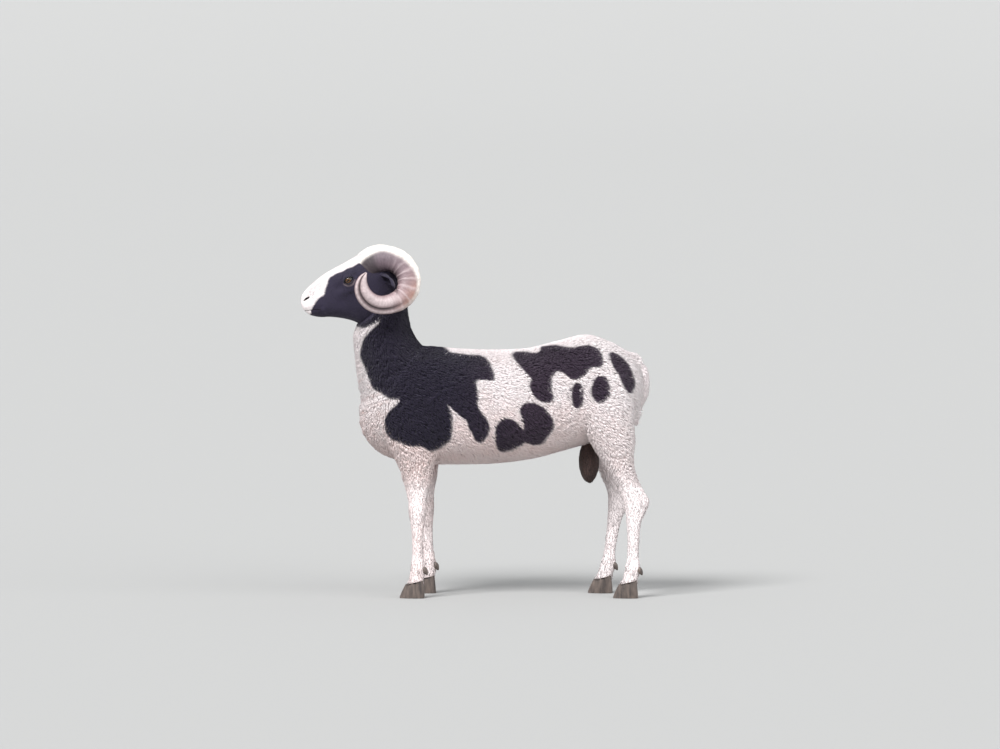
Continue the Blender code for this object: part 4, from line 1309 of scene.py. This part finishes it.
draw = np.random.default_rng(WOOL_SEED)
chance = (wool > WOOL_EDGE) * (WOOL_SPARSEST + (1 - WOOL_SPARSEST) * wool)
chance = chance / chance.sum()
picked = np.concatenate([
    draw.choice(len(spots), WOOL_LOCKS, replace=False, p=chance) for _ in range(WOOL_LAYERS)
])
locks = len(picked)
roots, up, way, across = strewn(picked, SKIN_GRAIN, ways)
hearts = spots[draw.choice(len(spots), CLUMP_COUNT, replace=False, p=chance)]
clump_tree = tree_of(hearts)
pull = hearts[[clump_tree.find(p)[1] for p in roots]] - roots
pull -= up * (pull * up).sum(axis=1, keepdims=True)
near = np.exp(-((np.linalg.norm(pull, axis=1) / CLUMP_REACH) ** 2))
height = (WOOL_SHORTEST + (1 - WOOL_SHORTEST) * wool[picked]) * np.where(on_tail[picked], WOOL_ON_TAIL, 1.0)
height *= WOOL_BETWEEN_CLUMPS + CLUMP_FULLNESS * near + draw.uniform(*WOOL_UNEVEN, locks)
way = strayed(way, across)
bend = WOOL_BEND * draw.uniform(*WOOL_BENDS, locks)

# Each level of a lock is black or white by where it lies, so that the patches keep clear edges
tints = []
for level in range(len(WOOL_TAPER) + 1):
    rise, run = bent(WOOL_LEAN, bend, max(level / len(WOOL_TAPER), 0.01))
    reached = roots + (up * rise[:, None] + way * run[:, None]) * (WOOL_LENGTH * height)[:, None]
    blackness = smoothstep(0.5 + (marked_by(reached) + wander[picked]) / (2 * EDGE_SOFTNESS))
    tints.append(light_colour[picked] + (dark_colour - light_colour)[picked] * blackness[:, None])
tints = np.stack(tints, axis=1) * (1 - HAIR_DARKER * (1 - wool[picked]))[:, None, None]
wool_form = lock_form(WOOL_TAPER)
for name, slot, look, mask in (
    ("fleece_white", "white_wool", fibre_look("white_wool", 0.88, 0.30), blackness <= 0.5),
    ("fleece_black", "black_wool", fibre_look("black_wool", 0.80, 0.10), blackness > 0.5),
):
    locks = int(mask.sum())
    grown(
        name, wool_form, look, slot, roots[mask], up[mask], way[mask],
        length=WOOL_LENGTH * height[mask], bend=bend[mask], lean=np.full(locks, WOOL_LEAN),
        width=WOOL_WIDTH * (WOOL_NARROWEST + (1 - WOOL_NARROWEST) * height[mask]),
        sway=draw.normal(0, WOOL_SWAY, locks), crimp=WOOL_CRIMP, phase=draw.uniform(0, 1, locks),
        thin=WOOL_THIN, pull=pull[mask] * CLUMP_PULL, sunk=WOOL_SUNK,
        shade=draw.uniform(*WOOL_SHADES, locks), colour=tints[mask],
    )


# Short hair
# Sleek hair lies flat on the face, ears, shanks and pouch. It stands off the surface only as fine
# pointed tufts that follow the growth: back from the nose, out along the ears and down the legs.
HAIR_SEED = 21
FACE_HAIR = 0.0058
LEG_HAIR = 0.0100
THROAT_HAIR = 0.012
HAIR_LENGTHS = (0.75, 1.15)
HAIR_SHADES = (0.98, 1.14)
HAIR_BEND = 0.24
HAIR_LEAN = 1.40
HAIR_THIN = 0.24
HAIR_SUNK = 0.0003
HAIR_SWAY = 0.05
LEG_TUFTS_ABOVE = 0.041
LEG_TUFTS_TO = 0.75
THROAT_TUFTS_TO = 0.8
THROAT_FROM = 0.02
THROAT_TO = 0.04
FRINGE_TOP = 0.054
FRINGE_LEAN = 1.08
FRINGE_LENGTH = 1.65
EAR_HAIR = 0.55
MUZZLE = (0.215, 0.03)
MUZZLE_SHORTER = 0.45
NOSE_END = (0.232, 0.014)
FACE_WAY = np.array((-1.0, 0.0, -0.30))
NOSE_WAY = np.array((0.7, 0.0, -0.25))
NOSE_SPREAD = np.array((0.0, 1.6, 0.0))
NOSTRIL_CLEAR = np.array((0.0020, 0.0, 0.0))
NOSTRIL_BARE = 1.62
MOUTH_BARE = (0.52, 0.52, 0.75)
EYE_BARE = 0.0018

head_turn = np.array(head_place.to_3x3())
bare = (in_mouth < np.array(MOUTH_SIZE) * MOUTH_BARE).all(axis=1)
for side in (-1, 1):
    bare |= np.linalg.norm(in_head - np.array(EYE) * (1, side, 1), axis=1) < EYE_RADIUS + EYE_BARE
    in_hole = moved(in_head, nostril_place(side).inverted())
    bare |= np.linalg.norm((in_hole - NOSTRIL_CLEAR) / NOSTRIL_SIZE, axis=1) < NOSTRIL_BARE
muzzle = rising(in_head[:, 0], MUZZLE)
face_way = np.tile(FACE_WAY, (len(spots), 1))
sideways = np.sign(in_head[:, 1])[:, None] * NOSE_SPREAD + NOSE_WAY
face_way += sideways * rising(in_head[:, 0], NOSE_END)[:, None]
for side in (-1, 1):
    here = on_ear & (in_head[:, 1] * side > 0)
    face_way[here] = np.array(EAR_TIP - EAR_ROOT) * (1, side, 1)
hair_ways = np.where(on_head[:, None], along_surface(face_way @ head_turn.T, normals), ways)
hair_form = lock_form(HAIR_TAPER)
white_hair_look = fibre_look("white_hair", 0.75, 0.15)
black_hair_look = fibre_look("black_hair", 0.62, 0.08)


def hair(name, slot, look, mask, tufts, length, width):
    """Sleek hair on the points of the mask, in as many layers as the number of tufts takes."""
    layers = math.ceil(tufts / mask.sum())
    picked = np.concatenate([
        draw.choice(len(spots), tufts // layers, replace=False, p=mask / mask.sum())
        for _ in range(layers)
    ])
    tufts = len(picked)
    grain = np.where(on_head[picked], HEAD_GRAIN, SKIN_GRAIN)[:, None, None]
    roots, up, way, across = strewn(picked, grain, hair_ways)
    way = strayed(way, across)
    shorter = 1 - MUZZLE_SHORTER * muzzle[picked] * on_head[picked]
    fringe = spot_z[picked] < FRINGE_TOP
    size = length * draw.uniform(*HAIR_LENGTHS, tufts) * shorter
    size *= np.where(on_ear[picked], EAR_HAIR, 1.0) * np.where(fringe, FRINGE_LENGTH, 1.0)
    grown(
        name, hair_form, look, slot, roots, up, way,
        length=size, width=np.full(tufts, width), bend=np.full(tufts, HAIR_BEND),
        lean=np.where(fringe, FRINGE_LEAN, HAIR_LEAN), sway=draw.normal(0, HAIR_SWAY, tufts),
        crimp=0.0, phase=np.zeros(tufts), thin=HAIR_THIN, pull=np.zeros((tufts, 3)),
        sunk=HAIR_SUNK, shade=draw.uniform(*HAIR_SHADES, tufts), colour=colours[picked],
    )


draw = np.random.default_rng(HAIR_SEED)
is_black = black > 0.5
on_face = on_head & ~bare
on_legs = ~on_head & ~on_pouch & (wool < LEG_TUFTS_TO) & (spot_z > LEG_TUFTS_ABOVE)
on_legs &= from_head > THROAT_FROM
on_throat = ~on_head & (wool < THROAT_TUFTS_TO) & (from_head < THROAT_TO)

# The tufts of each piece, how many, how long and how wide
for name, white, where, tufts, length, width in (
    ("face_hair_black", False, on_face & is_black, 15000, FACE_HAIR, 0.00058),
    ("face_hair_white", True, on_face & ~is_black, 9000, FACE_HAIR, 0.00075),
    ("leg_hair", True, on_legs, 13500, LEG_HAIR, 0.0010),
    ("pouch_hair", False, on_pouch, 1400, LEG_HAIR, 0.0010),
    ("throat_hair_black", False, on_throat & is_black, 2000, THROAT_HAIR, 0.0011),
    ("throat_hair_white", True, on_throat & ~is_black, 300, THROAT_HAIR, 0.0011),
):
    slot = "white_hair" if white else "black_wool"
    hair(name, slot, white_hair_look if white else black_hair_look, where, tufts, length, width)
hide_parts("torso", "neck", "head", "ear_left", "ear_right", "thigh_left", "thigh_right")
settle(
    skin, "white_hair", "foreleg_left", "foreleg_right", "hindleg_left", "hindleg_right",
    "tail", "scrotum",
)


# The eyes
# Amber eyes with the level, oblong pupil of a sheep, set a little forward and slightly bulged.
IRIS_RADIUS = 0.0092
PUPIL = (0.0052, 0.0019)
PUPIL_SQUARENESS = 3.0
PUPIL_DARKNESS = 0.985
CORNEA_RISE = 0.0008
EYE_GRID = (64, 40)

# From the middle of the iris outwards, as shares of its radius
IRIS_TONES = (
    (0.0, (0.075, 0.034, 0.013, 1)),
    (0.55, (0.092, 0.042, 0.014, 1)),
    (0.86, (0.052, 0.024, 0.010, 1)),
    (0.95, (0.012, 0.008, 0.007, 1)),
    (1.0, (0.012, 0.008, 0.007, 1)),
)

eye_look, tree, shader = new_material("eye", 0.06, Specular_IOR_Level=0.45)
front = add_node(tree, "UVMap", uv_map="Front")
parts = add_node(tree, "SeparateXYZ")
tree.links.new(front.outputs["UV"], parts.inputs["Vector"])


def ramp(tree, tones):
    """A colour ramp with these stops, each a position and a colour."""
    made = add_node(tree, "ValToRGB")
    stops = made.color_ramp.elements
    for stop, (position, colour) in zip((stops[0], stops[1]), (tones[0], tones[-1])):
        stop.position = position
        stop.color = colour
    for position, colour in tones[1:-1]:
        stops.new(position).color = colour
    return made


def chain(operation, *values):
    """A maths node fed by numbers or by other nodes' outputs."""
    made = add_node(tree, "Math", operation=operation)
    for socket, value in zip(made.inputs, values):
        if isinstance(value, (int, float)):
            socket.default_value = value
        else:
            tree.links.new(value, socket)
    return made.outputs[0]


across_pupil = [
    chain("POWER", chain("ABSOLUTE", chain("DIVIDE", parts.outputs[axis], reach)), PUPIL_SQUARENESS)
    for axis, reach in zip((0, 1), PUPIL)
]
outside_pupil = chain("GREATER_THAN", chain("ADD", *across_pupil), 1.0)
radius = chain("SQRT", chain("ADD", *[
    chain("POWER", chain("ABSOLUTE", parts.outputs[axis]), 2.0) for axis in (0, 1)
]))
streaks = add_node(tree, "TexNoise", Scale=900.0, Detail=2.0)
iris = ramp(tree, IRIS_TONES)
reach = chain("ADD", chain("DIVIDE", radius, IRIS_RADIUS), chain("MULTIPLY", streaks.outputs["Fac"], 0.10))
tree.links.new(reach, iris.inputs["Fac"])
lit = chain("ADD", chain("MULTIPLY", outside_pupil, PUPIL_DARKNESS), 1 - PUPIL_DARKNESS)
black_out = add_node(tree, "MixRGB", blend_type="MULTIPLY", Fac=1.0)
tree.links.new(lit, black_out.inputs["Color2"])
link(
    tree, (front, "UV", streaks, "Vector"), (iris, "Color", black_out, "Color1"),
    (black_out, "Color", shader, "Base Color"),
)

for side, node in ((1, "eye_left"), (-1, "eye_right")):
    mesh = bmesh.new()
    bmesh.ops.create_uvsphere(mesh, u_segments=EYE_GRID[0], v_segments=EYE_GRID[1], radius=EYE_RADIUS)
    bmesh.ops.rotate(mesh, verts=mesh.verts, matrix=Matrix.Rotation(-math.pi / 2, 3, "X"))
    for vert in mesh.verts:
        off = math.hypot(vert.co.x, vert.co.z) / IRIS_RADIUS
        if vert.co.y > 0:
            vert.co.y += CORNEA_RISE * math.exp(-(off**4))
    layer = mesh.loops.layers.uv.new("Front")
    for face in mesh.faces:
        for loop in face.loops:
            loop[layer].uv = (loop.vert.co.x, loop.vert.co.z)
    bmesh.ops.transform(mesh, matrix=head_place @ eye_place(side), verts=mesh.verts)
    bmesh.ops.recalc_face_normals(mesh, faces=mesh.faces)
    settle(make_object(mesh, f"{node}ball", eye_look), "eye", node)

# Lashes along each upper lid
LASHES = 32
LASH_SPAN = (0.12, 0.88)
LASH_RING = (1.02, 1.04)
LASH_LENGTHS = (0.0045, 0.0075)
LASH_BENDS = (0.5, 1.1)
LASH_LEANS = (0.1, 0.6)
LASH_SWAY = 0.12
LASH_WIDTH = 0.00030
LASH_THIN = 0.8
LASH_SUNK = 0.0005
LASH_BLACK = 0.02
LASH_DROOP = np.array((0.0, 0.0, -0.45))
LASH_FAN = 0.6
LASH_OUT = 0.006
LASH_DOWN = -0.002

lash_turns = np.linspace(*LASH_SPAN, LASHES) * math.pi
for side, name in ((1, "lashes_left"), (-1, "lashes_right")):
    lid = head_place @ eye_place(side)
    lid_turn = np.array(lid.to_3x3())
    wide, high = (opening * ring for opening, ring in zip(LID_OPENING, LASH_RING))
    rim = np.array([(wide * math.cos(a), 0.0, high * math.sin(a) ** LID_CURVE) for a in lash_turns])
    rim[:, 1] = np.sqrt((EYE_RADIUS + LID_THICKNESS * 0.5) ** 2 - (rim**2).sum(axis=1))
    fan = unit(rim * (LASH_FAN, 0.0, 0.0) + (0.0, LASH_OUT, LASH_DOWN))
    up = unit(unit(rim) @ lid_turn.T)
    grown(
        name, hair_form, black_hair_look, "black_wool", moved(rim, lid), up,
        along_surface(fan @ lid_turn.T + LASH_DROOP, up),
        length=draw.uniform(*LASH_LENGTHS, LASHES), width=np.full(LASHES, LASH_WIDTH),
        bend=draw.uniform(*LASH_BENDS, LASHES), lean=draw.uniform(*LASH_LEANS, LASHES),
        sway=draw.normal(0, LASH_SWAY, LASHES), crimp=0.0, phase=np.zeros(LASHES),
        thin=LASH_THIN, pull=np.zeros((LASHES, 3)), sunk=LASH_SUNK, shade=np.ones(LASHES),
        colour=np.full((LASHES, 3), LASH_BLACK),
    )


# The horns
# Each horn is a wound, tapering sheath of keratin, triangular across, with growth ridges over its
# first two thirds, a pale outer edge, partly its own paler horn and partly painted light, and a long
# groove between two keels towards its tip. The groove and the inside of the coil near the root
# are darkened with painted shade.
HORN_START = math.radians(67)
HORN_END = math.radians(415)
HORN_RADII = ((0.00, 0.064), (0.20, 0.064), (0.40, 0.061), (0.62, 0.052), (0.88, 0.067), (1.00, 0.067))
HORN_SIDE = (0.031, 0.154)
HORN_CENTRE = (0.009, -0.0406)
HORN_LEAN = 0.176
HORN_GIRTH = (
    (0.00, 0.0355), (0.12, 0.0350), (0.33, 0.0325), (0.50, 0.0290), (0.64, 0.0260),
    (0.78, 0.0242), (0.88, 0.0205), (0.95, 0.0125), (1.00, 0.0025),
)
HORN_FLATNESS = 0.74
HORN_SUNK = 0.06
HORN_GRID = (64, 440)

# Heights and depths are shares of the girth. Places along are shares of the horn's length, and
# places round it are turns from the outer edge, each with the spread of the feature.
RIDGES = 19
RIDGES_CLOSER = (1.25, 0.45)
RIDGE_HEIGHT = 0.050
RIDGE = (0.55, 0.15)
RIDGE_FOOT = 0.4
RIDGE_STRAYS = (0.30, 0.09, 0.10)
RIDGE_AT_ROOT = 0.15
RIDGE_WANING = 0.8
THREE_SIDED = 0.06
ROUGHNESS = 0.012
KEEL_HEIGHT = 0.035
GROOVE_DEPTH = 0.24
GROOVE = (math.radians(57), math.radians(12))
OUTER_KEEL = (math.radians(31), 0.17)
INNER_KEEL = (math.radians(108), 0.55)
INNER_KEEL_SHARE = 0.8
KEELS_START = (0.46, 0.22)
RIDGES_START = (0.14, 0.16)
RIDGES_END = (0.80, 0.4)

# The horn's colours, and where each of them comes and goes
HORN_DARK = np.array((0.115, 0.080, 0.098))
HORN_MID = np.array((0.275, 0.190, 0.200))
HORN_RIDGE = np.array((0.560, 0.460, 0.465))
HORN_PALE = np.array((0.78, 0.72, 0.67))
HORN_WARM = np.array((0.43, 0.22, 0.15))
PALE_EDGE_WIDEST = (0.24, 0.12)
PALE_EDGE_END = (0.62, 0.26)
WARM_PATCH = (0.46, 0.10)
MIDDLE_START = (0.06, 0.50)
INNER_SHADE_END = (0.40, 0.2)
ROOT_DARK_END = (0.02, 0.07)
GROOVE_SHADE = 0.84
HORN_BAND_WEIGHT = 0.22
HORN_FIBRE_WEIGHT = 0.30
HORN_FIBRE_STRETCH = (40.0, 3.0, 1.0)


def curve_at(table, t):
    """The value that a table of places and values has at t."""
    return float(np.interp(t, table[:, 0], table[:, 1]))


radii = eased(HORN_RADII, 10 * len(HORN_RADII))
girths = eased(HORN_GIRTH, 10 * len(HORN_GIRTH))


def horn_middle(t, side):
    """The middle of the horn at a share t of its length."""
    angle = HORN_START + (HORN_END - HORN_START) * t
    radius = curve_at(radii, t)
    out = HORN_SIDE[0] + (HORN_SIDE[1] - HORN_SIDE[0]) * t
    x = HORN_CENTRE[0] + HORN_LEAN * out + radius * math.cos(angle)
    return Vector((x, side * out, HORN_CENTRE[1] + radius * math.sin(angle)))


def bell(x, middle, spread):
    return math.exp(-(((x - middle) / spread) ** 2))


def round_noise(t, turn, along, around):
    """Smooth noise over the horn's surface, of so many lumps along it and round it."""
    return noise.noise(Vector((t * along, around * math.cos(turn), around * math.sin(turn))))


def horn_relief(t, turn, side):
    """How far the surface stands out, as a share of the girth, and how strong each feature is."""
    slow, slant, quick = RIDGE_STRAYS
    wobble = slow * noise.noise(Vector((t * 9, side * 3, 0.5))) + slant * math.sin(turn + 1)
    wobble += quick * round_noise(t, turn, 30, 2)
    saw = (t * RIDGES * (RIDGES_CLOSER[0] - RIDGES_CLOSER[1] * t) + wobble) % 1.0
    ridge = bell(saw, *RIDGE)
    start = RIDGE_AT_ROOT + (1 - RIDGE_AT_ROOT) * rising(t, RIDGES_START)
    strength = (1 - RIDGE_WANING * t) * float(sinking(t, RIDGES_END) * start)
    late = float(rising(t, KEELS_START))
    groove = bell(turn, *GROOVE) * late
    keels = (bell(turn, *OUTER_KEEL) + INNER_KEEL_SHARE * bell(turn, *INNER_KEEL)) * late
    stand = RIDGE_HEIGHT * strength * (ridge - RIDGE_FOOT) + THREE_SIDED * math.cos(3 * turn)
    stand += ROUGHNESS * round_noise(t, turn, 60, 3.2)
    stand += KEEL_HEIGHT * keels - GROOVE_DEPTH * groove
    return stand, ridge * strength, groove, keels


def horn_point(side):
    def point(t, turn):
        angle = HORN_START + (HORN_END - HORN_START) * t
        middle = horn_middle(t, side)
        ahead = (horn_middle(t + 0.005, side) - horn_middle(t - 0.005, side)).normalized()
        radial = Vector((math.cos(angle), 0, math.sin(angle)))
        radial = (radial - ahead * radial.dot(ahead)).normalized()
        across = ahead.cross(radial) * side
        girth = curve_at(girths, t) * (1 + horn_relief(t, turn, side)[0])
        return middle + radial * girth * math.cos(turn) + across * girth * HORN_FLATNESS * math.sin(turn)
    return point


def horn_colour(t, turn, side):
    """Pink-grey at the root and on its flanks, cream along the outer edge, partly its own paler horn and
    partly painted light, with pale ridges and keels, and painted shade in the groove and on the inside
    of the coil near the root."""
    _, ridge, groove, keels = horn_relief(t, turn, side)
    # The pale outer edge is partly the horn's own colour and partly painted light, widest a quarter of the
    # way along
    spread = 0.84 + 0.45 * bell(t, *PALE_EDGE_WIDEST) + 0.10 * noise.noise(Vector((t * 14, side, 0)))
    edge = max(bell(turn, 0, spread), bell(turn, 2 * math.pi, spread))
    pale_lit_edge = float(smoothstep(2.4 * edge - 0.75)) * float(sinking(t, PALE_EDGE_END))
    middle = float(rising(t, MIDDLE_START))
    colour = HORN_DARK + (HORN_MID - HORN_DARK) * middle
    warm = bell(t, *WARM_PATCH) * bell(turn % math.pi, 0.7, 0.9)
    colour = colour + (HORN_WARM - colour) * 0.6 * warm
    # Painted shade on the inside of the coil, fading out along the horn
    colour = colour * (1 - 0.55 * bell(turn, math.pi, 1.0) * float(sinking(t, INNER_SHADE_END)))
    colour = colour * (0.35 + 0.65 * float(rising(t, ROOT_DARK_END)))
    colour = colour + (HORN_RIDGE - colour) * min(1.0, ridge * (0.12 + 0.70 * middle) + (0.7 + t) * keels)
    colour = colour + (HORN_PALE - colour) * pale_lit_edge
    # Painted shade darkens the groove between the keels
    return colour * (1 - GROOVE_SHADE * groove)


horn_look, tree, shader = new_material("horn", 0.55, Coat_Weight=0.08, Coat_Roughness=0.4)
tint = add_node(tree, "Attribute", attribute_name="Tint")
growth_map = add_node(tree, "UVMap", uv_map="Growth")
place = add_node(tree, "TexCoord")
bands = add_node(
    tree, "TexWave", wave_type="BANDS", bands_direction="Y", Scale=13.0, Distortion=7.0, Detail=3.0,
    Detail_Scale=2.5,
)
blotches = add_node(tree, "TexNoise", Scale=55.0, Detail=5.0, Roughness=0.6)
streaked = add_node(tree, "Mapping", Scale=HORN_FIBRE_STRETCH)
fibres = add_node(tree, "TexNoise", Scale=2.0, Detail=3.0)
bump = add_node(tree, "Bump", Strength=0.5, Distance=0.0008)
link(
    tree, (place, "Object", blotches, "Vector"), (growth_map, "UV", bands, "Vector"),
    (growth_map, "UV", streaked, "Vector"), (streaked, "Vector", fibres, "Vector"),
)


def added(tree, pattern, weight, base):
    """A number output plus a share of a pattern."""
    made = add_node(tree, "Math", operation="MULTIPLY_ADD")
    made.inputs[1].default_value = weight
    tree.links.new(pattern, made.inputs[0])
    tree.links.new(base, made.inputs[2])
    return made.outputs[0]


pattern = added(tree, bands.outputs["Fac"], HORN_BAND_WEIGHT, blotches.outputs["Fac"])
pattern = added(tree, fibres.outputs["Fac"], HORN_FIBRE_WEIGHT, pattern)
tree.links.new(pattern, bump.inputs["Height"])
horn_tone = toned(tree, tint, pattern, From_Min=0.35, From_Max=1.15, To_Min=0.66, To_Max=1.22)
link(tree, (horn_tone, "Color", shader, "Base Color"), (bump, "Normal", shader, "Normal"))

for side, node in ((1, "horn_left"), (-1, "horn_right")):
    point = horn_point(side)
    mesh = bmesh.new()
    mesh.loops.layers.uv.new("Growth")
    around, along = HORN_GRID
    bmesh.ops.create_grid(mesh, x_segments=around, y_segments=along, size=0.5, calc_uvs=True)
    layer = mesh.verts.layers.float_color.new("Tint")
    for vert in mesh.verts:
        t = (vert.co.y + 0.5) * (1 + HORN_SUNK) - HORN_SUNK
        turn = 2 * math.pi * (round((vert.co.x + 0.5) * around) % around) / around
        vert[layer] = (*horn_colour(t, turn, side), 1.0)
        vert.co = point(t, turn)
    bmesh.ops.remove_doubles(mesh, verts=mesh.verts, dist=1e-6)
    bmesh.ops.holes_fill(mesh, edges=[e for e in mesh.edges if e.is_boundary])
    bmesh.ops.recalc_face_normals(mesh, faces=mesh.faces)
    bmesh.ops.transform(mesh, matrix=head_place, verts=mesh.verts)
    settle(make_object(mesh, f"{node}_sheath", horn_look), "horn", node)


# The hooves
# Cloven hooves of dark horn with fine growth rings, flat soles and toes drawn together, and two
# small knobs of the same horn behind each fetlock.
CORONET = 0.043
CORONET_TILT = math.radians(14)
CORONET_ROUNDING = 0.0024
CORONET_ROOM = 0.001

# From the ground up: z, the toe and the heel off the leg's middle, half width
CLAW = (
    (0.000, -0.042, 0.024, 0.0112),
    (0.003, -0.043, 0.025, 0.0122),
    (0.018, -0.037, 0.024, 0.0128),
    (0.036, -0.028, 0.022, 0.0122),
    (0.056, -0.018, 0.020, 0.0110),
)
CLAW_GRID = (60, 44)
CLAW_POWER = 2.5
CLAW_OFFSET = 0.0142
CLAW_LENGTH = 0.045
TOE_TAPER = 0.35
TOE_TURN = 0.34
GROWTH_RING = 0.00013
GROWTH_RING_APART = 0.0034
GROWTH_RING_WAVE = 0.6
DEWCLAW_HEIGHT = 0.074
DEWCLAW_APART = 0.011
DEWCLAW_SUNK = 0.001
DEWCLAW_SIZE = (0.0070, 0.0060, 0.0125)
DEWCLAW_TAPER = 0.42
DEWCLAW_TILT = math.radians(-28)
DEWCLAW_GRID = (24, 16)
HOOF_TONES = ((0.35, (0.030, 0.024, 0.024, 1)), (0.85, (0.17, 0.13, 0.11, 1)))
HOOF_BAND_WEIGHT = 0.16
HOOF_STRETCH = (1.0, 1.0, 0.2)

hoof_look, tree, shader = new_material("hoof", 0.5)
place = add_node(tree, "TexCoord")
bands = add_node(
    tree, "TexWave", wave_type="BANDS", bands_direction="Z", Scale=120.0, Distortion=5.0, Detail=3.0
)
stretch = add_node(tree, "Mapping", Scale=HOOF_STRETCH)
streaks = add_node(tree, "TexNoise", Scale=120.0, Detail=4.0)
pattern = added(tree, bands.outputs["Fac"], HOOF_BAND_WEIGHT, streaks.outputs["Fac"])
tones = ramp(tree, HOOF_TONES)
bump = add_node(tree, "Bump", Strength=0.3, Distance=0.0004)
tree.links.new(pattern, tones.inputs["Fac"])
tree.links.new(pattern, bump.inputs["Height"])
link(
    tree, (place, "Object", bands, "Vector"), (place, "Object", stretch, "Vector"),
    (stretch, "Vector", streaks, "Vector"), (tones, "Color", shader, "Base Color"),
    (bump, "Normal", shader, "Normal"),
)


def leg_middle(rows, z, swing, side):
    """The middle of a leg at this height, and how far back its skin reaches."""
    _, front, back, inner, outer = min(eased(rows, 200), key=lambda row: abs(row[0] - z))
    back_off = swung(z, swing)
    return Vector(((front + back) / 2 + back_off, side * (inner + outer) / 2, z)), back + back_off


def claw_point(middle, side, outward):
    y = middle.y + side * outward * CLAW_OFFSET

    def point(row, turn):
        z, toe, heel, half = row
        wave = 2 * math.pi * z / GROWTH_RING_APART + GROWTH_RING_WAVE * math.sin(turn)
        ring = 1 + GROWTH_RING / half * math.sin(wave)
        level = (z, middle.x + toe * ring, middle.x + heel * ring, y - half * ring, y + half * ring)
        x, across, z = level_point(level, turn, CLAW_POWER, 0)
        ahead = float(smoothstep((middle.x - x) / CLAW_LENGTH))
        return x, across + ahead * (TOE_TAPER * (y - across) - TOE_TURN * side * outward * half), z
    return point


down = Vector((math.sin(CORONET_TILT), 0, -math.cos(CORONET_TILT)))
for name, rows, side, swing in LEGS:
    middle, _ = leg_middle(rows, CORONET, swing, side)
    for outward, claw in ((1, "outer"), (-1, "inner")):
        mesh = eased_tube(CLAW, CLAW_GRID, claw_point(middle, side, outward))
        bmesh.ops.bisect_plane(
            mesh, geom=mesh.verts[:] + mesh.edges[:] + mesh.faces[:], dist=1e-6,
            plane_co=middle - down * CORONET_ROOM, plane_no=-down, clear_outer=True,
        )
        top = [edge for edge in mesh.edges if edge.is_boundary]
        bmesh.ops.holes_fill(mesh, edges=top)
        bmesh.ops.bevel(mesh, geom=top, offset=CORONET_ROUNDING, segments=3, profile=0.5, affect="EDGES")
        bmesh.ops.recalc_face_normals(mesh, faces=mesh.faces)
        settle(make_object(mesh, f"hoof_{name}_{claw}", hoof_look), "hoof", f"claw_{name}_{claw}")
    middle, back = leg_middle(rows, DEWCLAW_HEIGHT, swing, side)
    knobs = bmesh.new()
    for apart in (-DEWCLAW_APART, DEWCLAW_APART):
        spot = Vector((back - DEWCLAW_SUNK, middle.y + side * apart, DEWCLAW_HEIGHT))
        knob = ball(1.0, Matrix(), *DEWCLAW_GRID)
        for vert in knob.verts:
            vert.co.xy *= 1 + DEWCLAW_TAPER * min(vert.co.z, 0)
        tilt = Matrix.Rotation(DEWCLAW_TILT, 4, "Y")
        at = Matrix.Translation(spot) @ tilt @ Matrix.Diagonal((*DEWCLAW_SIZE, 1))
        bmesh.ops.transform(knob, matrix=at, verts=knob.verts)
        join(knobs, knob)
    settle(make_object(knobs, f"dewclaws_{name}", hoof_look), "hoof")
